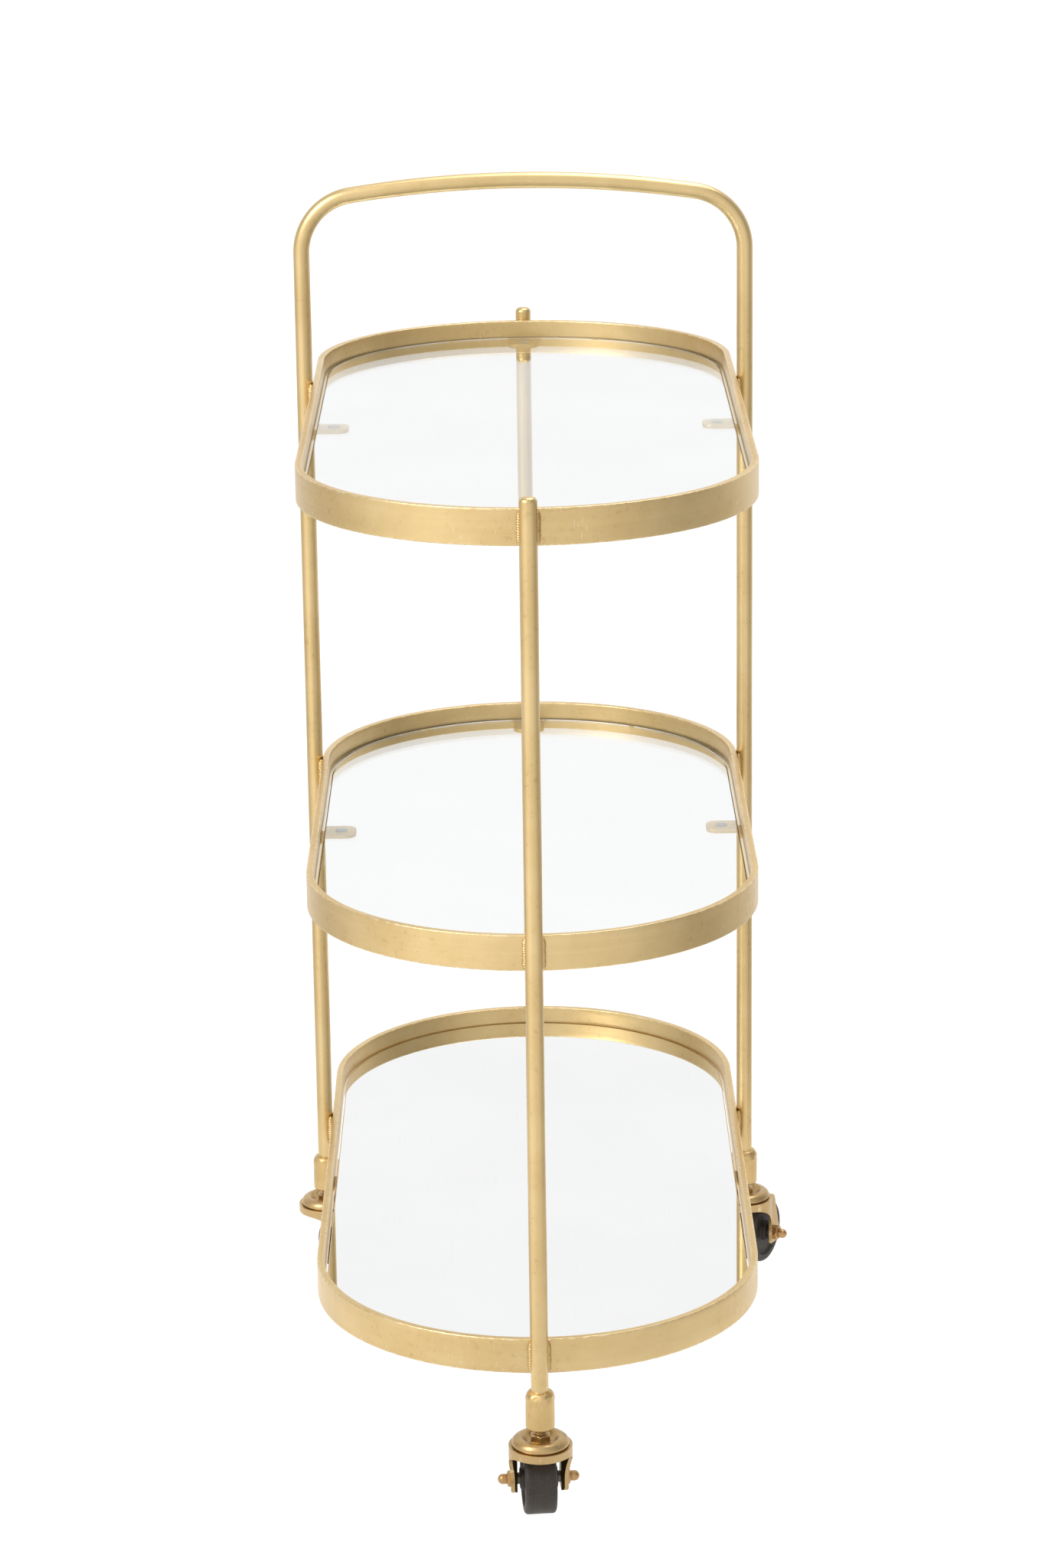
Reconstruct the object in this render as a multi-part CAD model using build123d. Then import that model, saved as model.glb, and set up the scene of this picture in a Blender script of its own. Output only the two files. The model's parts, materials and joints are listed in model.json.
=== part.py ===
from build123d import *
from math import cos, radians, sin, sqrt
import os

# Three-shelf bar cart on four swivel casters. Millimetres, +Z up.
# Origin: floor level, midway between the front and rear legs and between the side legs.
# -Y is the front end, +Y the rear end, X runs across the cart.

# Shelf rings: flat bar bent on its edge round a slot-shaped outline
ring_width = 316.0
ring_length = 702.0
bar_height = 25.0
bar_thickness = 5.0
bar_edge_radius = 0.7
middle_ring_setback = 98.0      # the middle ring stops short of the rear leg, which leaves room for bottles
bottom_ring_top = 133.0
shelf_spacing = 290.0

# Legs and handle: round rod
rod_radius = 6.0
side_leg_y = 100.0
leg_foot_z = 80.0
leg_tip_rise = 9.0              # the front and rear legs end this far above the top ring
leg_tip_round = 3.5
handle_top_z = 861.0            # rod centre at the middle of the handle
handle_arch_radius = 855.0
handle_corner_radius = 43.0

# Shelf plates and what they lie on
plate_depth = 13.0              # from the ring's top edge down to the plate's upper face
plate_thickness = 5.0
plate_side_gap = 2.0
plate_edge_radius = 0.8
pad_thickness = 1.0
pad_radius = 4.5
pad_reach = 14.0                # pad centre from the ring's inner wall
tab_width = 24.0
tab_reach = 25.0
tab_thickness = 3.0
tab_corner_radius = 8.0

# Weld beads in the grooves between rod and ring
weld_radius = 2.4
weld_spread = 4.4               # from the leg's mid-plane to the bead's centre
weld_stand_off = 1.5            # from the ring's face to the bead's centre
weld_end_gap = 1.0

# Caster sockets and stems
socket_radius = 10.0
socket_bottom_z = 71.0
socket_top_z = 98.0
socket_shoulder_width = 3.4     # the cast shoulder narrows by this much over the height below
socket_shoulder_height = 5.5
socket_foot_round = 0.8
stem_radius = 4.0
stem_top_z = 79.0
stem_chamfer = 1.0
hex_width = 13.0
hex_height = 6.2
kingpin_radius = 3.5
rivet_radius = 6.5
rivet_height = 1.8
rivet_chamfer = 1.0

# Swivel bearing
fork_top_z = 58.4
race_gap = 0.2                  # fixed cup over the turning fork
cup_radius = 20.0
cup_crest_radius = 14.0
cup_crest_z = 64.4
cup_wall = 1.8
cup_funnel_margin = 1.8         # flat seat round the hexagon before the funnel rises
cup_rim_gap = 0.5
ball_radius = 1.9
ball_circle_radius = 14.2
ball_count = 18

# Fork
crown_radius = 22.0
crown_plate = 2.5
crown_band = 5.6
cheek_half_width = 17.7
fork_wall = 2.5
trail = 18.0
cheek_arch_radius = 26.0
cheek_tip_half_width = 9.0
cheek_tip_drop = 8.0
cheek_tip_round = 4.0
cheek_heel = 18.0               # the top of the cheeks' back edge, behind the swivel
cheek_heel_round = 6.0
pin_clearance = 0.05

# Wheel, axle and acorn nuts
wheel_radius = 25.0
wheel_width = 22.0
wheel_edge_radius = 2.5
boss_radius = 7.5
boss_half_width = 13.0
dish_outer_radius = 19.5
dish_depth = 2.0
bush_radius = 4.0
axle_radius = 3.0
nut_width = 9.8
nut_height = 4.2
nut_dome_radius = 3.6
nut_neck = 2.9

middle_ring_top = bottom_ring_top + shelf_spacing
top_ring_top = middle_ring_top + shelf_spacing
middle_ring_length = ring_length - middle_ring_setback
end_leg_y = ring_length / 2 + rod_radius
side_leg_x = ring_width / 2 + rod_radius
plate_drop = plate_depth + plate_thickness

# name, length, centre in Y, height of the ring's top edge
rings = {
    "top": (ring_length, 0.0, top_ring_top),
    "middle": (middle_ring_length, -middle_ring_setback / 2, middle_ring_top),
    "bottom": (ring_length, 0.0, bottom_ring_top),
}

# leg position, and the way each wheel trails behind its swivel, in degrees from +X
casters = {
    "front": (0.0, -end_leg_y, 95.0),
    "rear": (0.0, end_leg_y, 285.0),
    "left": (-side_leg_x, side_leg_y, 8.0),
    "right": (side_leg_x, side_leg_y, 60.0),
}

os.makedirs("parts", exist_ok=True)


def save(shape, node):
    export_step(shape, f"parts/{node}.step")


def group(solids):
    return Compound(children=list(solids))


def slot_outline(length, centre_y, inset=0.0):
    """Slot with its long axis along Y, drawn in inset by a constant margin."""
    return Pos(0, centre_y, 0) * Rot(0, 0, 90) * SlotOverall(length - 2 * inset, ring_width - 2 * inset)


def shelf_ring(length, centre_y, top_z):
    section = slot_outline(length, centre_y) - slot_outline(length, centre_y, bar_thickness)
    ring = Pos(0, 0, top_z - bar_height) * extrude(section, bar_height)
    rims = ring.edges().group_by(Axis.Z)[-1] + ring.edges().group_by(Axis.Z)[0]
    return fillet(rims, bar_edge_radius)


def shelf_plate(length, centre_y, top_z, thickness):
    inset = bar_thickness + plate_side_gap
    plate = extrude(slot_outline(length, centre_y, inset), thickness)
    rims = plate.edges().group_by(Axis.Z)[-1] + plate.edges().group_by(Axis.Z)[0]
    return Pos(0, 0, top_z - plate_depth - thickness) * fillet(rims, plate_edge_radius)


def tab_places(length, centre_y):
    """The middle of the ring's inner wall at both ends and both sides, and the way in from it."""
    end = length / 2 - bar_thickness
    side = ring_width / 2 - bar_thickness
    return [
        (0.0, centre_y - end, 90),
        (0.0, centre_y + end, 270),
        (-side, centre_y, 0),
        (side, centre_y, 180),
    ]


def tab_set(length, centre_y, top_z):
    """Flat tabs welded to the inner wall, with rounded free ends."""
    wall = extrude(slot_outline(length, centre_y, bar_thickness), tab_thickness)
    root = tab_width / 2
    blank = RectangleRounded(2 * tab_reach, tab_width, tab_corner_radius)
    blank = blank + Pos(-root, 0) * Rectangle(2 * root, tab_width)
    tabs = []
    for x, y, heading in tab_places(length, centre_y):
        tab = Pos(x, y, 0) * Rot(0, 0, heading) * extrude(blank, tab_thickness)
        tabs.append((tab & wall).solids()[0])
    drop = plate_drop + pad_thickness + tab_thickness
    return group(Pos(0, 0, top_z - drop) * tab for tab in tabs)


def pad_set(length, centre_y, top_z):
    """Clear cushions between the tabs and the plate."""
    pads = []
    for x, y, heading in tab_places(length, centre_y):
        px = x + pad_reach * cos(radians(heading))
        py = y + pad_reach * sin(radians(heading))
        pad = Cylinder(pad_radius, pad_thickness, align=(Align.CENTER, Align.CENTER, Align.MAX))
        pads.append(Pos(px, py, top_z - plate_drop) * pad)
    return group(pads)


def weld_set(length, centre_y, top_z, legs):
    """Upright beads in the two grooves beside each leg that meets the ring."""
    ring = slot_outline(length, centre_y)
    beads = []
    height = bar_height - 2 * weld_end_gap
    for x, y in legs:
        out = Vector(0, y).normalized() if x == 0 else Vector(x, 0).normalized()
        along = Vector(-out.Y, out.X)
        face = Vector(x, y) - out * rod_radius
        for side in (-1, 1):
            spot = face + out * weld_stand_off + along * (side * weld_spread)
            bead = Pos(spot.X, spot.Y) * Circle(weld_radius)
            bead = bead - Pos(x, y) * Circle(rod_radius) - ring
            piece = max(bead.faces(), key=lambda f: f.area)
            beads.append(Pos(0, 0, top_z - bar_height + weld_end_gap) * extrude(piece, height, dir=(0, 0, 1)))
    return group(beads)


def end_leg(y):
    height = top_ring_top + leg_tip_rise - leg_foot_z
    leg = Cylinder(rod_radius, height, align=(Align.CENTER, Align.CENTER, Align.MIN))
    leg = fillet(leg.edges().group_by(Axis.Z)[-1], leg_tip_round)
    return Pos(0, y, leg_foot_z) * leg


def handle_frame():
    """One rod bent into both side legs and the gently arched handle between them."""
    arch_z = handle_top_z - handle_arch_radius
    corner_x = side_leg_x - handle_corner_radius
    reach = handle_arch_radius - handle_corner_radius
    corner_z = arch_z + sqrt(reach**2 - corner_x**2)
    lean = corner_x / reach
    arch_end = (corner_x + handle_corner_radius * lean, corner_z + handle_corner_radius * sqrt(1 - lean**2))
    half = (1 + lean) / 2
    knee = (corner_x + handle_corner_radius * sqrt(half), corner_z + handle_corner_radius * sqrt(1 - half))

    def at(x, z):
        return (x, side_leg_y, z)

    right = [at(*arch_end), at(*knee), at(side_leg_x, corner_z), at(side_leg_x, leg_foot_z)]
    left = [(-x, y, z) for x, y, z in reversed(right)]
    path = Wire([
        Edge.make_line(left[0], left[1]),
        Edge.make_three_point_arc(*left[1:]),
        Edge.make_three_point_arc(left[3], at(0, handle_top_z), right[0]),
        Edge.make_three_point_arc(*right[:3]),
        Edge.make_line(right[2], right[3]),
    ])
    section = Plane(origin=at(-side_leg_x, leg_foot_z), z_dir=(0, 0, 1)) * Circle(rod_radius)
    return sweep(section, path=path)


def turned(points):
    """Solid of revolution about Z from (radius, height) points."""
    return revolve(make_face(Polyline(*[(r, 0, z) for r, z in points], close=True)), Axis.Z)


def socket():
    """Cast sleeve over the leg's foot, tapped below for the caster's stem."""
    shoulder_z = socket_top_z - socket_shoulder_height
    with BuildPart() as sleeve:
        with BuildSketch(Plane.XZ):
            with BuildLine():
                Polyline(
                    (stem_radius, leg_foot_z),
                    (stem_radius, socket_bottom_z),
                    (socket_radius - socket_foot_round, socket_bottom_z),
                    (socket_radius, socket_bottom_z + socket_foot_round),
                    (socket_radius, shoulder_z),
                )
                EllipticalCenterArc(
                    (socket_radius - socket_shoulder_width, shoulder_z),
                    socket_shoulder_width,
                    socket_shoulder_height,
                    arc_size=90,
                )
                Polyline(
                    (socket_radius - socket_shoulder_width, socket_top_z),
                    (rod_radius, socket_top_z),
                    (rod_radius, leg_foot_z),
                    (stem_radius, leg_foot_z),
                )
            make_face()
        revolve(axis=Axis.Z)
    return sleeve.part


def stem():
    """Screw stem, hexagon, kingpin through the bearing and the peened head under the fork."""
    rivet_top = fork_top_z - crown_plate - race_gap
    rivet_bottom = rivet_top - rivet_height
    shank = turned([
        (0, rivet_bottom),
        (rivet_radius - rivet_chamfer, rivet_bottom),
        (rivet_radius, rivet_bottom + rivet_chamfer),
        (rivet_radius, rivet_top),
        (kingpin_radius, rivet_top),
        (kingpin_radius, fork_top_z + race_gap),
        (stem_radius, fork_top_z + race_gap),
        (stem_radius, stem_top_z - stem_chamfer),
        (stem_radius - stem_chamfer, stem_top_z),
        (0, stem_top_z),
    ])
    nut = extrude(RegularPolygon(hex_width / 2, 6, major_radius=False), hex_height)
    return shank + Pos(0, 0, fork_top_z + race_gap + cup_wall) * Rot(0, 0, 30) * nut


def cup():
    """Pressed upper race: a rounded crest round a sunk middle that the hexagon bears on."""
    plate_z = fork_top_z + race_gap
    rim_z = fork_top_z + cup_rim_gap
    inner_z = plate_z + cup_wall
    seat = hex_width / 2 + cup_funnel_margin
    neck = seat - cup_wall / 2
    with BuildPart() as pressed:
        with BuildSketch(Plane.XZ):
            with BuildLine():
                Line((stem_radius, plate_z), (seat, plate_z))
                Spline(
                    (seat, plate_z),
                    (cup_crest_radius, cup_crest_z - cup_wall),
                    (cup_radius - cup_wall, rim_z),
                    tangents=[(1, 0.35), (0.1, -1)],
                )
                Line((cup_radius - cup_wall, rim_z), (cup_radius, rim_z))
                Spline(
                    (cup_radius, rim_z),
                    (cup_crest_radius, cup_crest_z),
                    (neck, inner_z),
                    tangents=[(0.05, 1), (-1, -0.35)],
                )
                Line((neck, inner_z), (stem_radius, inner_z))
                Line((stem_radius, inner_z), (stem_radius, plate_z))
            make_face()
        revolve(axis=Axis.Z)
    return pressed.part


def ball_ring():
    balls = []
    for index in range(ball_count):
        angle = radians(360 / ball_count * index)
        spot = Pos(ball_circle_radius * cos(angle), ball_circle_radius * sin(angle), fork_top_z + ball_radius)
        balls.append(spot * Sphere(ball_radius))
    return group(balls)


def crown_outline(radius, half_width):
    return Circle(radius) + Pos(0, crown_radius) * Rectangle(2 * half_width, 2 * crown_radius)


def fork():
    """Pressed fork: round crown, and two closer flat cheeks that run back and down to the axle."""
    axle_z = wheel_radius
    arch_z = fork_top_z - crown_band - cheek_arch_radius
    front = trail - cheek_tip_half_width
    back = trail + cheek_tip_half_width
    tip_z = axle_z - cheek_tip_drop
    start = front - cheek_arch_radius
    diagonal = cheek_arch_radius * sqrt(0.5)
    with BuildPart() as slab:
        with BuildSketch(Plane.YZ):
            with BuildLine():
                Line((-2 * crown_radius, fork_top_z), (-2 * crown_radius, arch_z + cheek_arch_radius))
                Line((-2 * crown_radius, arch_z + cheek_arch_radius), (start, arch_z + cheek_arch_radius))
                ThreePointArc(
                    (start, arch_z + cheek_arch_radius),
                    (start + diagonal, arch_z + diagonal),
                    (front, arch_z),
                )
                Polyline((front, arch_z), (front, tip_z), (back, tip_z), (back, axle_z))
                Polyline((back, axle_z), (cheek_heel, fork_top_z), (-2 * crown_radius, fork_top_z))
            make_face()
        extrude(amount=2 * crown_radius, both=True)
        corners = slab.edges().filter_by(Axis.X).group_by(Axis.Z)[0]
        fillet(corners, cheek_tip_round)
        heel = slab.edges().filter_by(Axis.X).group_by(Axis.Z)[-1].sort_by(Axis.Y)[-1]
        fillet(heel, cheek_heel_round)
    outer = crown_outline(crown_radius, cheek_half_width)
    inner = crown_outline(crown_radius - fork_wall, cheek_half_width - fork_wall)
    body = extrude(outer, fork_top_z) & slab.part
    body = body - extrude(inner, fork_top_z - crown_plate)
    kingpin_hole = Cylinder(kingpin_radius + pin_clearance, 4 * fork_top_z)
    axle_hole = Pos(0, trail, axle_z) * Rot(0, 90, 0) * Cylinder(axle_radius, 4 * crown_radius)
    return body - kingpin_hole - axle_hole


def on_axle(shape):
    """Puts a shape made about Z on the axle, which runs along X behind the swivel."""
    return Pos(0, trail, wheel_radius) * Rot(0, 90, 0) * shape


def axle():
    return on_axle(Cylinder(axle_radius, 2 * (cheek_half_width + nut_height + nut_neck)))


def acorn_nuts():
    neck_end = nut_height + nut_neck
    nuts = []
    for side in (0, 180):
        nut = extrude(RegularPolygon(nut_width / 2, 6, major_radius=False), nut_height)
        neck = Cylinder(nut_dome_radius, neck_end, align=(Align.CENTER, Align.CENTER, Align.MIN))
        dome = Pos(0, 0, neck_end) * Sphere(nut_dome_radius)
        thread = Cylinder(axle_radius, neck_end, align=(Align.CENTER, Align.CENTER, Align.MIN))
        nut = nut + neck + dome - thread
        nuts.append(Rot(0, side, 0) * Pos(0, 0, cheek_half_width) * nut)
    return on_axle(group(nuts))


def axle_bush():
    """Sleeve clamped between the cheeks, which the wheel turns on."""
    length = 2 * (cheek_half_width - fork_wall)
    return on_axle(Cylinder(bush_radius, length) - Cylinder(axle_radius, length))


def wheel():
    tyre = Cylinder(wheel_radius, wheel_width)
    tyre = fillet(tyre.edges(), wheel_edge_radius)
    for side in (-1, 1):
        floor_z = side * (wheel_width / 2 - dish_depth / 2)
        dish = Cylinder(dish_outer_radius, dish_depth) - Cylinder(boss_radius, dish_depth)
        tyre = tyre - Pos(0, 0, floor_z) * dish
    tyre = tyre + Cylinder(boss_radius, 2 * boss_half_width)
    return on_axle(tyre - Cylinder(bush_radius + 2 * pin_clearance, 3 * wheel_width))


leg_spots = {name: (x, y) for name, (x, y, heading) in casters.items()}
for name, (length, centre_y, top_z) in rings.items():
    legs = [spot for leg, spot in leg_spots.items() if leg != "rear" or name != "middle"]
    save(shelf_ring(length, centre_y, top_z), f"{name}_ring")
    save(tab_set(length, centre_y, top_z), f"{name}_tabs")
    save(pad_set(length, centre_y, top_z), f"{name}_pads")
    save(weld_set(length, centre_y, top_z, legs), f"{name}_welds")
    plate = "mirror" if name == "bottom" else "glass"
    save(shelf_plate(length, centre_y, top_z, plate_thickness), f"{name}_{plate}")

save(end_leg(-end_leg_y), "front_leg")
save(end_leg(end_leg_y), "rear_leg")
save(handle_frame(), "handle_frame")

fixed_pieces = {"socket": socket(), "stem": stem(), "cup": cup()}
turning_pieces = {
    "balls": ball_ring(),
    "fork": fork(),
    "axle": axle(),
    "nuts": acorn_nuts(),
    "bush": axle_bush(),
    "wheel": wheel(),
}
for name, (x, y, heading) in casters.items():
    for piece, shape in fixed_pieces.items():
        save(Pos(x, y, 0) * shape, f"{name}_{piece}")
    for piece, shape in turning_pieces.items():
        save(Pos(x, y, 0) * Rot(0, 0, heading - 90) * shape, f"{name}_{piece}")
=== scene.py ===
import json
import math
import bmesh
import bpy
from mathutils import Euler, Matrix, Vector, noise


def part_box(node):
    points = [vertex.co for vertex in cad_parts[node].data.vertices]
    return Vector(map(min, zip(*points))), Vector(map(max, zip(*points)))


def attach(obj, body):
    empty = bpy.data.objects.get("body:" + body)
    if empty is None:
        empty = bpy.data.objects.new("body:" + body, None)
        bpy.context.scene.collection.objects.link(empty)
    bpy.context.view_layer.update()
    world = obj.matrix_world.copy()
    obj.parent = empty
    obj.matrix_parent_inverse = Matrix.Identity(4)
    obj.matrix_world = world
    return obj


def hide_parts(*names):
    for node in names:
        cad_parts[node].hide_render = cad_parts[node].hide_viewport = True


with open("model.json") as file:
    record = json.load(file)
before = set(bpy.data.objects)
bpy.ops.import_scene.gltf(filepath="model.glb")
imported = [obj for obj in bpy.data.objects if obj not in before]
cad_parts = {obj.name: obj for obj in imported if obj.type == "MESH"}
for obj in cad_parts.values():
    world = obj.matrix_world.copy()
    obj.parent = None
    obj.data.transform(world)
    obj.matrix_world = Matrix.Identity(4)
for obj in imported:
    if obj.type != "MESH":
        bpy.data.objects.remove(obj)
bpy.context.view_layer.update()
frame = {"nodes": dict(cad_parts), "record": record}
mm = 0.001
print("stage: frame loaded,", len(frame["nodes"]), "nodes")

cameraSettings = {
    "place": (-0.0075, -3.108, 1.320),
    "pitchDeg": 16.03,
    "yawDeg": 0.03,
    "rollDeg": 0.8,
    "lensMm": 100.1,
}


def linked(name, data):
    thing = bpy.data.objects.new(name, data)
    bpy.context.collection.objects.link(thing)
    return thing


def makeCamera(s):
    data = bpy.data.cameras.new("studioCamera")
    data.lens = s["lensMm"]
    data.sensor_width = 36
    data.clip_end = 200
    cam = linked("studioCamera", data)
    turn = Euler((math.radians(90 - s["pitchDeg"]), 0, math.radians(-s["yawDeg"]))).to_matrix().to_4x4()
    roll = Matrix.Rotation(math.radians(-s["rollDeg"]), 4, "Z")
    cam.matrix_world = Matrix.Translation(s["place"]) @ turn @ roll
    bpy.context.scene.camera = cam


makeCamera(cameraSettings)
bpy.context.scene.view_settings.view_transform = "Standard"


# Short helpers for any node tree. A value is either a socket to link or a plain setting.
def plug(tree, socket, value):
    if isinstance(value, bpy.types.NodeSocket):
        tree.links.new(value, socket)
    else:
        socket.default_value = value


def addNode(tree, kind, inputs=None, **props):
    node = tree.nodes.new(kind)
    for key, value in props.items():
        setattr(node, key, value)
    for key, value in (inputs or {}).items():
        plug(tree, node.inputs[key], value)
    return node


def mathOf(tree, operation, *values, clamp=False):
    node = addNode(tree, "ShaderNodeMath", operation=operation, use_clamp=clamp)
    for index, value in enumerate(values):
        plug(tree, node.inputs[index], value)
    return node.outputs[0]


def times(tree, first, second, clamp=False):
    return mathOf(tree, "MULTIPLY", first, second, clamp=clamp)


def plus(tree, first, second, clamp=False):
    return mathOf(tree, "ADD", first, second, clamp=clamp)


def objectPlace(tree):
    return addNode(tree, "ShaderNodeTexCoord").outputs["Object"]


def vectorOf(tree, operation, *values):
    node = addNode(tree, "ShaderNodeVectorMath", operation=operation)
    for index, value in enumerate(values):
        if operation == "SCALE" and index == 1:
            plug(tree, node.inputs["Scale"], value)
        else:
            plug(tree, node.inputs[index], value)
    single = operation in ("DOT_PRODUCT", "LENGTH", "DISTANCE")
    return node.outputs["Value" if single else "Vector"]


def noiseOf(tree, vector, scale, detail=2.0, rough=0.5):
    settings = {"Vector": vector, "Scale": scale, "Detail": detail, "Roughness": rough}
    return addNode(tree, "ShaderNodeTexNoise", settings).outputs["Fac"]


def rangeOf(tree, value, low, high, outLow=0.0, outHigh=1.0):
    settings = {"Value": value, "From Min": low, "From Max": high, "To Min": outLow, "To Max": outHigh}
    return addNode(tree, "ShaderNodeMapRange", settings, interpolation_type="SMOOTHSTEP").outputs["Result"]


def mixColor(tree, factor, first, second, blend="MIX"):
    node = addNode(tree, "ShaderNodeMix", data_type="RGBA", blend_type=blend)
    plug(tree, node.inputs[0], factor)
    plug(tree, node.inputs[6], first)
    plug(tree, node.inputs[7], second)
    return node.outputs[2]


def newGroup(name, kind, inputs, outputs):
    # inputs and outputs are (name, socket kind, default) and (name, socket kind)
    tree = bpy.data.node_groups.new(name, kind)
    for label, socketKind, value in inputs:
        socket = tree.interface.new_socket(name=label, in_out="INPUT", socket_type=socketKind)
        if value is not None:
            socket.default_value = value
    for label, socketKind in outputs:
        tree.interface.new_socket(name=label, in_out="OUTPUT", socket_type=socketKind)
    return tree, tree.nodes.new("NodeGroupInput").outputs, tree.nodes.new("NodeGroupOutput").inputs


floatSocket, vectorSocket, colorSocket = "NodeSocketFloat", "NodeSocketVector", "NodeSocketColor"


def shaderGroup(name, inputs, *outputs):
    # inputs are labels with defaults: a number, a vector of three or a colour of four
    kinds = {1: floatSocket, 3: vectorSocket, 4: colorSocket}
    given = [(label, kinds[len(value) if isinstance(value, tuple) else 1], value)
             for label, value in inputs.items()]
    results = [(label, colorSocket if label == "Color" else floatSocket) for label in outputs]
    return newGroup(name, "ShaderNodeTree", given, results)


def addBump(tree, shader, height, strength, distance):
    bump = addNode(tree, "ShaderNodeBump", {"Height": height, "Strength": strength, "Distance": distance})
    plug(tree, shader.inputs["Normal"], bump.outputs["Normal"])


# Light: a white room, brighter at the left front and dimmer to the right, as big softboxes make it
lightSettings = {
    "base": 0.92,
    "keyHeading": (-0.74, -0.67, 0),
    "keyGain": 0.28,
    "dimHeading": (0.99, -0.12, 0),
    "dimDrop": 0.50,
    "backHeading": (-0.94, 0.34, 0),
    "backDrop": 0.26,
    "floorGlow": 0.97,
    "nearFloor": 0.86,
    "white": 1.0,
}


def studioFallGroup(s):
    tree, given, out = shaderGroup("studioFall", {"Vector": (0, 0, 0)}, "Level")
    flat = vectorOf(tree, "NORMALIZE", vectorOf(tree, "MULTIPLY", given["Vector"], (1, 1, 0)))
    level = s["base"]
    for heading, sharpness, change in (("key", 5.0, s["keyGain"]), ("dim", 3.5, -s["dimDrop"]),
                                       ("back", 3.0, -s["backDrop"])):
        towards = mathOf(tree, "MAXIMUM", vectorOf(tree, "DOT_PRODUCT", flat, s[heading + "Heading"]), 0.0)
        share = times(tree, mathOf(tree, "POWER", towards, sharpness), change)
        level = plus(tree, share, level)
    plug(tree, out["Level"], level)
    return tree


studioFall = studioFallGroup(lightSettings)


def makeWorld(s):
    world = bpy.data.worlds.new("studioRoom")
    world.use_nodes = True
    tree = world.node_tree
    tree.nodes.clear()
    heading = addNode(tree, "ShaderNodeTexCoord").outputs["Generated"]
    fall = addNode(tree, "ShaderNodeGroup", node_tree=studioFall)
    plug(tree, fall.inputs["Vector"], heading)
    # the backdrop behind the cart is white up to about 45 degrees
    parts = addNode(tree, "ShaderNodeSeparateXYZ", {"Vector": heading})
    behind = rangeOf(tree, parts.outputs["Y"], 0.55, 0.80)
    low = rangeOf(tree, parts.outputs["Z"], 0.75, 0.50)
    backdrop = times(tree, behind, low)
    level = times(tree, fall.outputs["Level"], mathOf(tree, "SUBTRACT", 1.0, backdrop))
    level = plus(tree, level, times(tree, backdrop, s["white"]))
    seen = addNode(tree, "ShaderNodeLightPath").outputs["Is Camera Ray"]
    level = mathOf(tree, "MAXIMUM", level, seen)    # seen directly, the backdrop is plain white
    shade = addNode(tree, "ShaderNodeBackground", {"Color": (1, 1, 1, 1), "Strength": level})
    plug(tree, addNode(tree, "ShaderNodeOutputWorld").inputs["Surface"], shade.outputs[0])
    bpy.context.scene.world = world


makeWorld(lightSettings)


def softbox(name, place, target, size, power):
    data = bpy.data.lights.new(name, "AREA")
    data.shape = "RECTANGLE"
    data.size, data.size_y = size
    data.energy = power
    lamp = linked(name, data)
    aim = (Vector(target) - Vector(place)).to_track_quat("-Z", "Y").to_matrix().to_4x4()
    lamp.matrix_world = Matrix.Translation(place) @ aim
    lamp.visible_camera = False


# place, target, size and watts of each lamp
softboxSettings = {
    "leftSoftbox": ((-1.9, -1.5, 2.3), (0, 0, 0.4), (1.1, 1.5), 34),
    "topSoftbox": ((0.5, 0.6, 2.9), (0, 0, 0.5), (1.4, 1.4), 22),
}
for lampName, lampSettings in softboxSettings.items():
    softbox(lampName, *lampSettings)


def unloaded(bm, name):
    mesh = bpy.data.meshes.new(name)
    bm.to_mesh(mesh)
    bm.free()
    return mesh


def makeFloor(s):
    bm = bmesh.new()
    bmesh.ops.create_grid(bm, x_segments=2, y_segments=2, size=60)
    mesh = unloaded(bm, "floorPaper")
    floor = linked("floorPaper", mesh)
    material = bpy.data.materials.new("floorPaper")
    material.use_nodes = True
    tree = material.node_tree
    tree.nodes.clear()
    place = objectPlace(tree)
    fall = addNode(tree, "ShaderNodeGroup", node_tree=studioFall)
    plug(tree, fall.inputs["Vector"], place)
    parts = addNode(tree, "ShaderNodeSeparateXYZ", {"Vector": place})
    # the paper under and behind the cart stays white; outside it, reflections see the room's shading
    sideways = mathOf(tree, "ABSOLUTE", parts.outputs["X"])
    spread = times(tree, plus(tree, parts.outputs["Y"], 3.11), 0.12)
    beyond = rangeOf(tree, mathOf(tree, "SUBTRACT", sideways, spread), 0.0, 0.25)
    ahead = rangeOf(tree, parts.outputs["Y"], -0.20, -0.55)
    outside = mathOf(tree, "MAXIMUM", beyond, ahead)
    near = rangeOf(tree, vectorOf(tree, "LENGTH", place), 0.55, 1.30, s["nearFloor"], 1.0)
    level = times(tree, times(tree, fall.outputs["Level"], near), outside)
    inside = times(tree, mathOf(tree, "SUBTRACT", 1.0, outside), s["white"])
    glow = times(tree, plus(tree, level, inside), s["floorGlow"])
    seen = addNode(tree, "ShaderNodeLightPath").outputs["Is Camera Ray"]
    glow = mathOf(tree, "MAXIMUM", glow, times(tree, seen, s["floorGlow"]))
    light = addNode(tree, "ShaderNodeEmission", {"Color": (1, 1, 1, 1), "Strength": glow})
    paper = addNode(tree, "ShaderNodeBsdfDiffuse", {"Color": (0.13, 0.13, 0.13, 1)})
    both = addNode(tree, "ShaderNodeAddShader")
    plug(tree, both.inputs[0], light.outputs[0])
    plug(tree, both.inputs[1], paper.outputs[0])
    plug(tree, addNode(tree, "ShaderNodeOutputMaterial").inputs["Surface"], both.outputs[0])
    mesh.materials.append(material)


makeFloor(lightSettings)
print("stage: camera, room and floor made")


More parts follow.
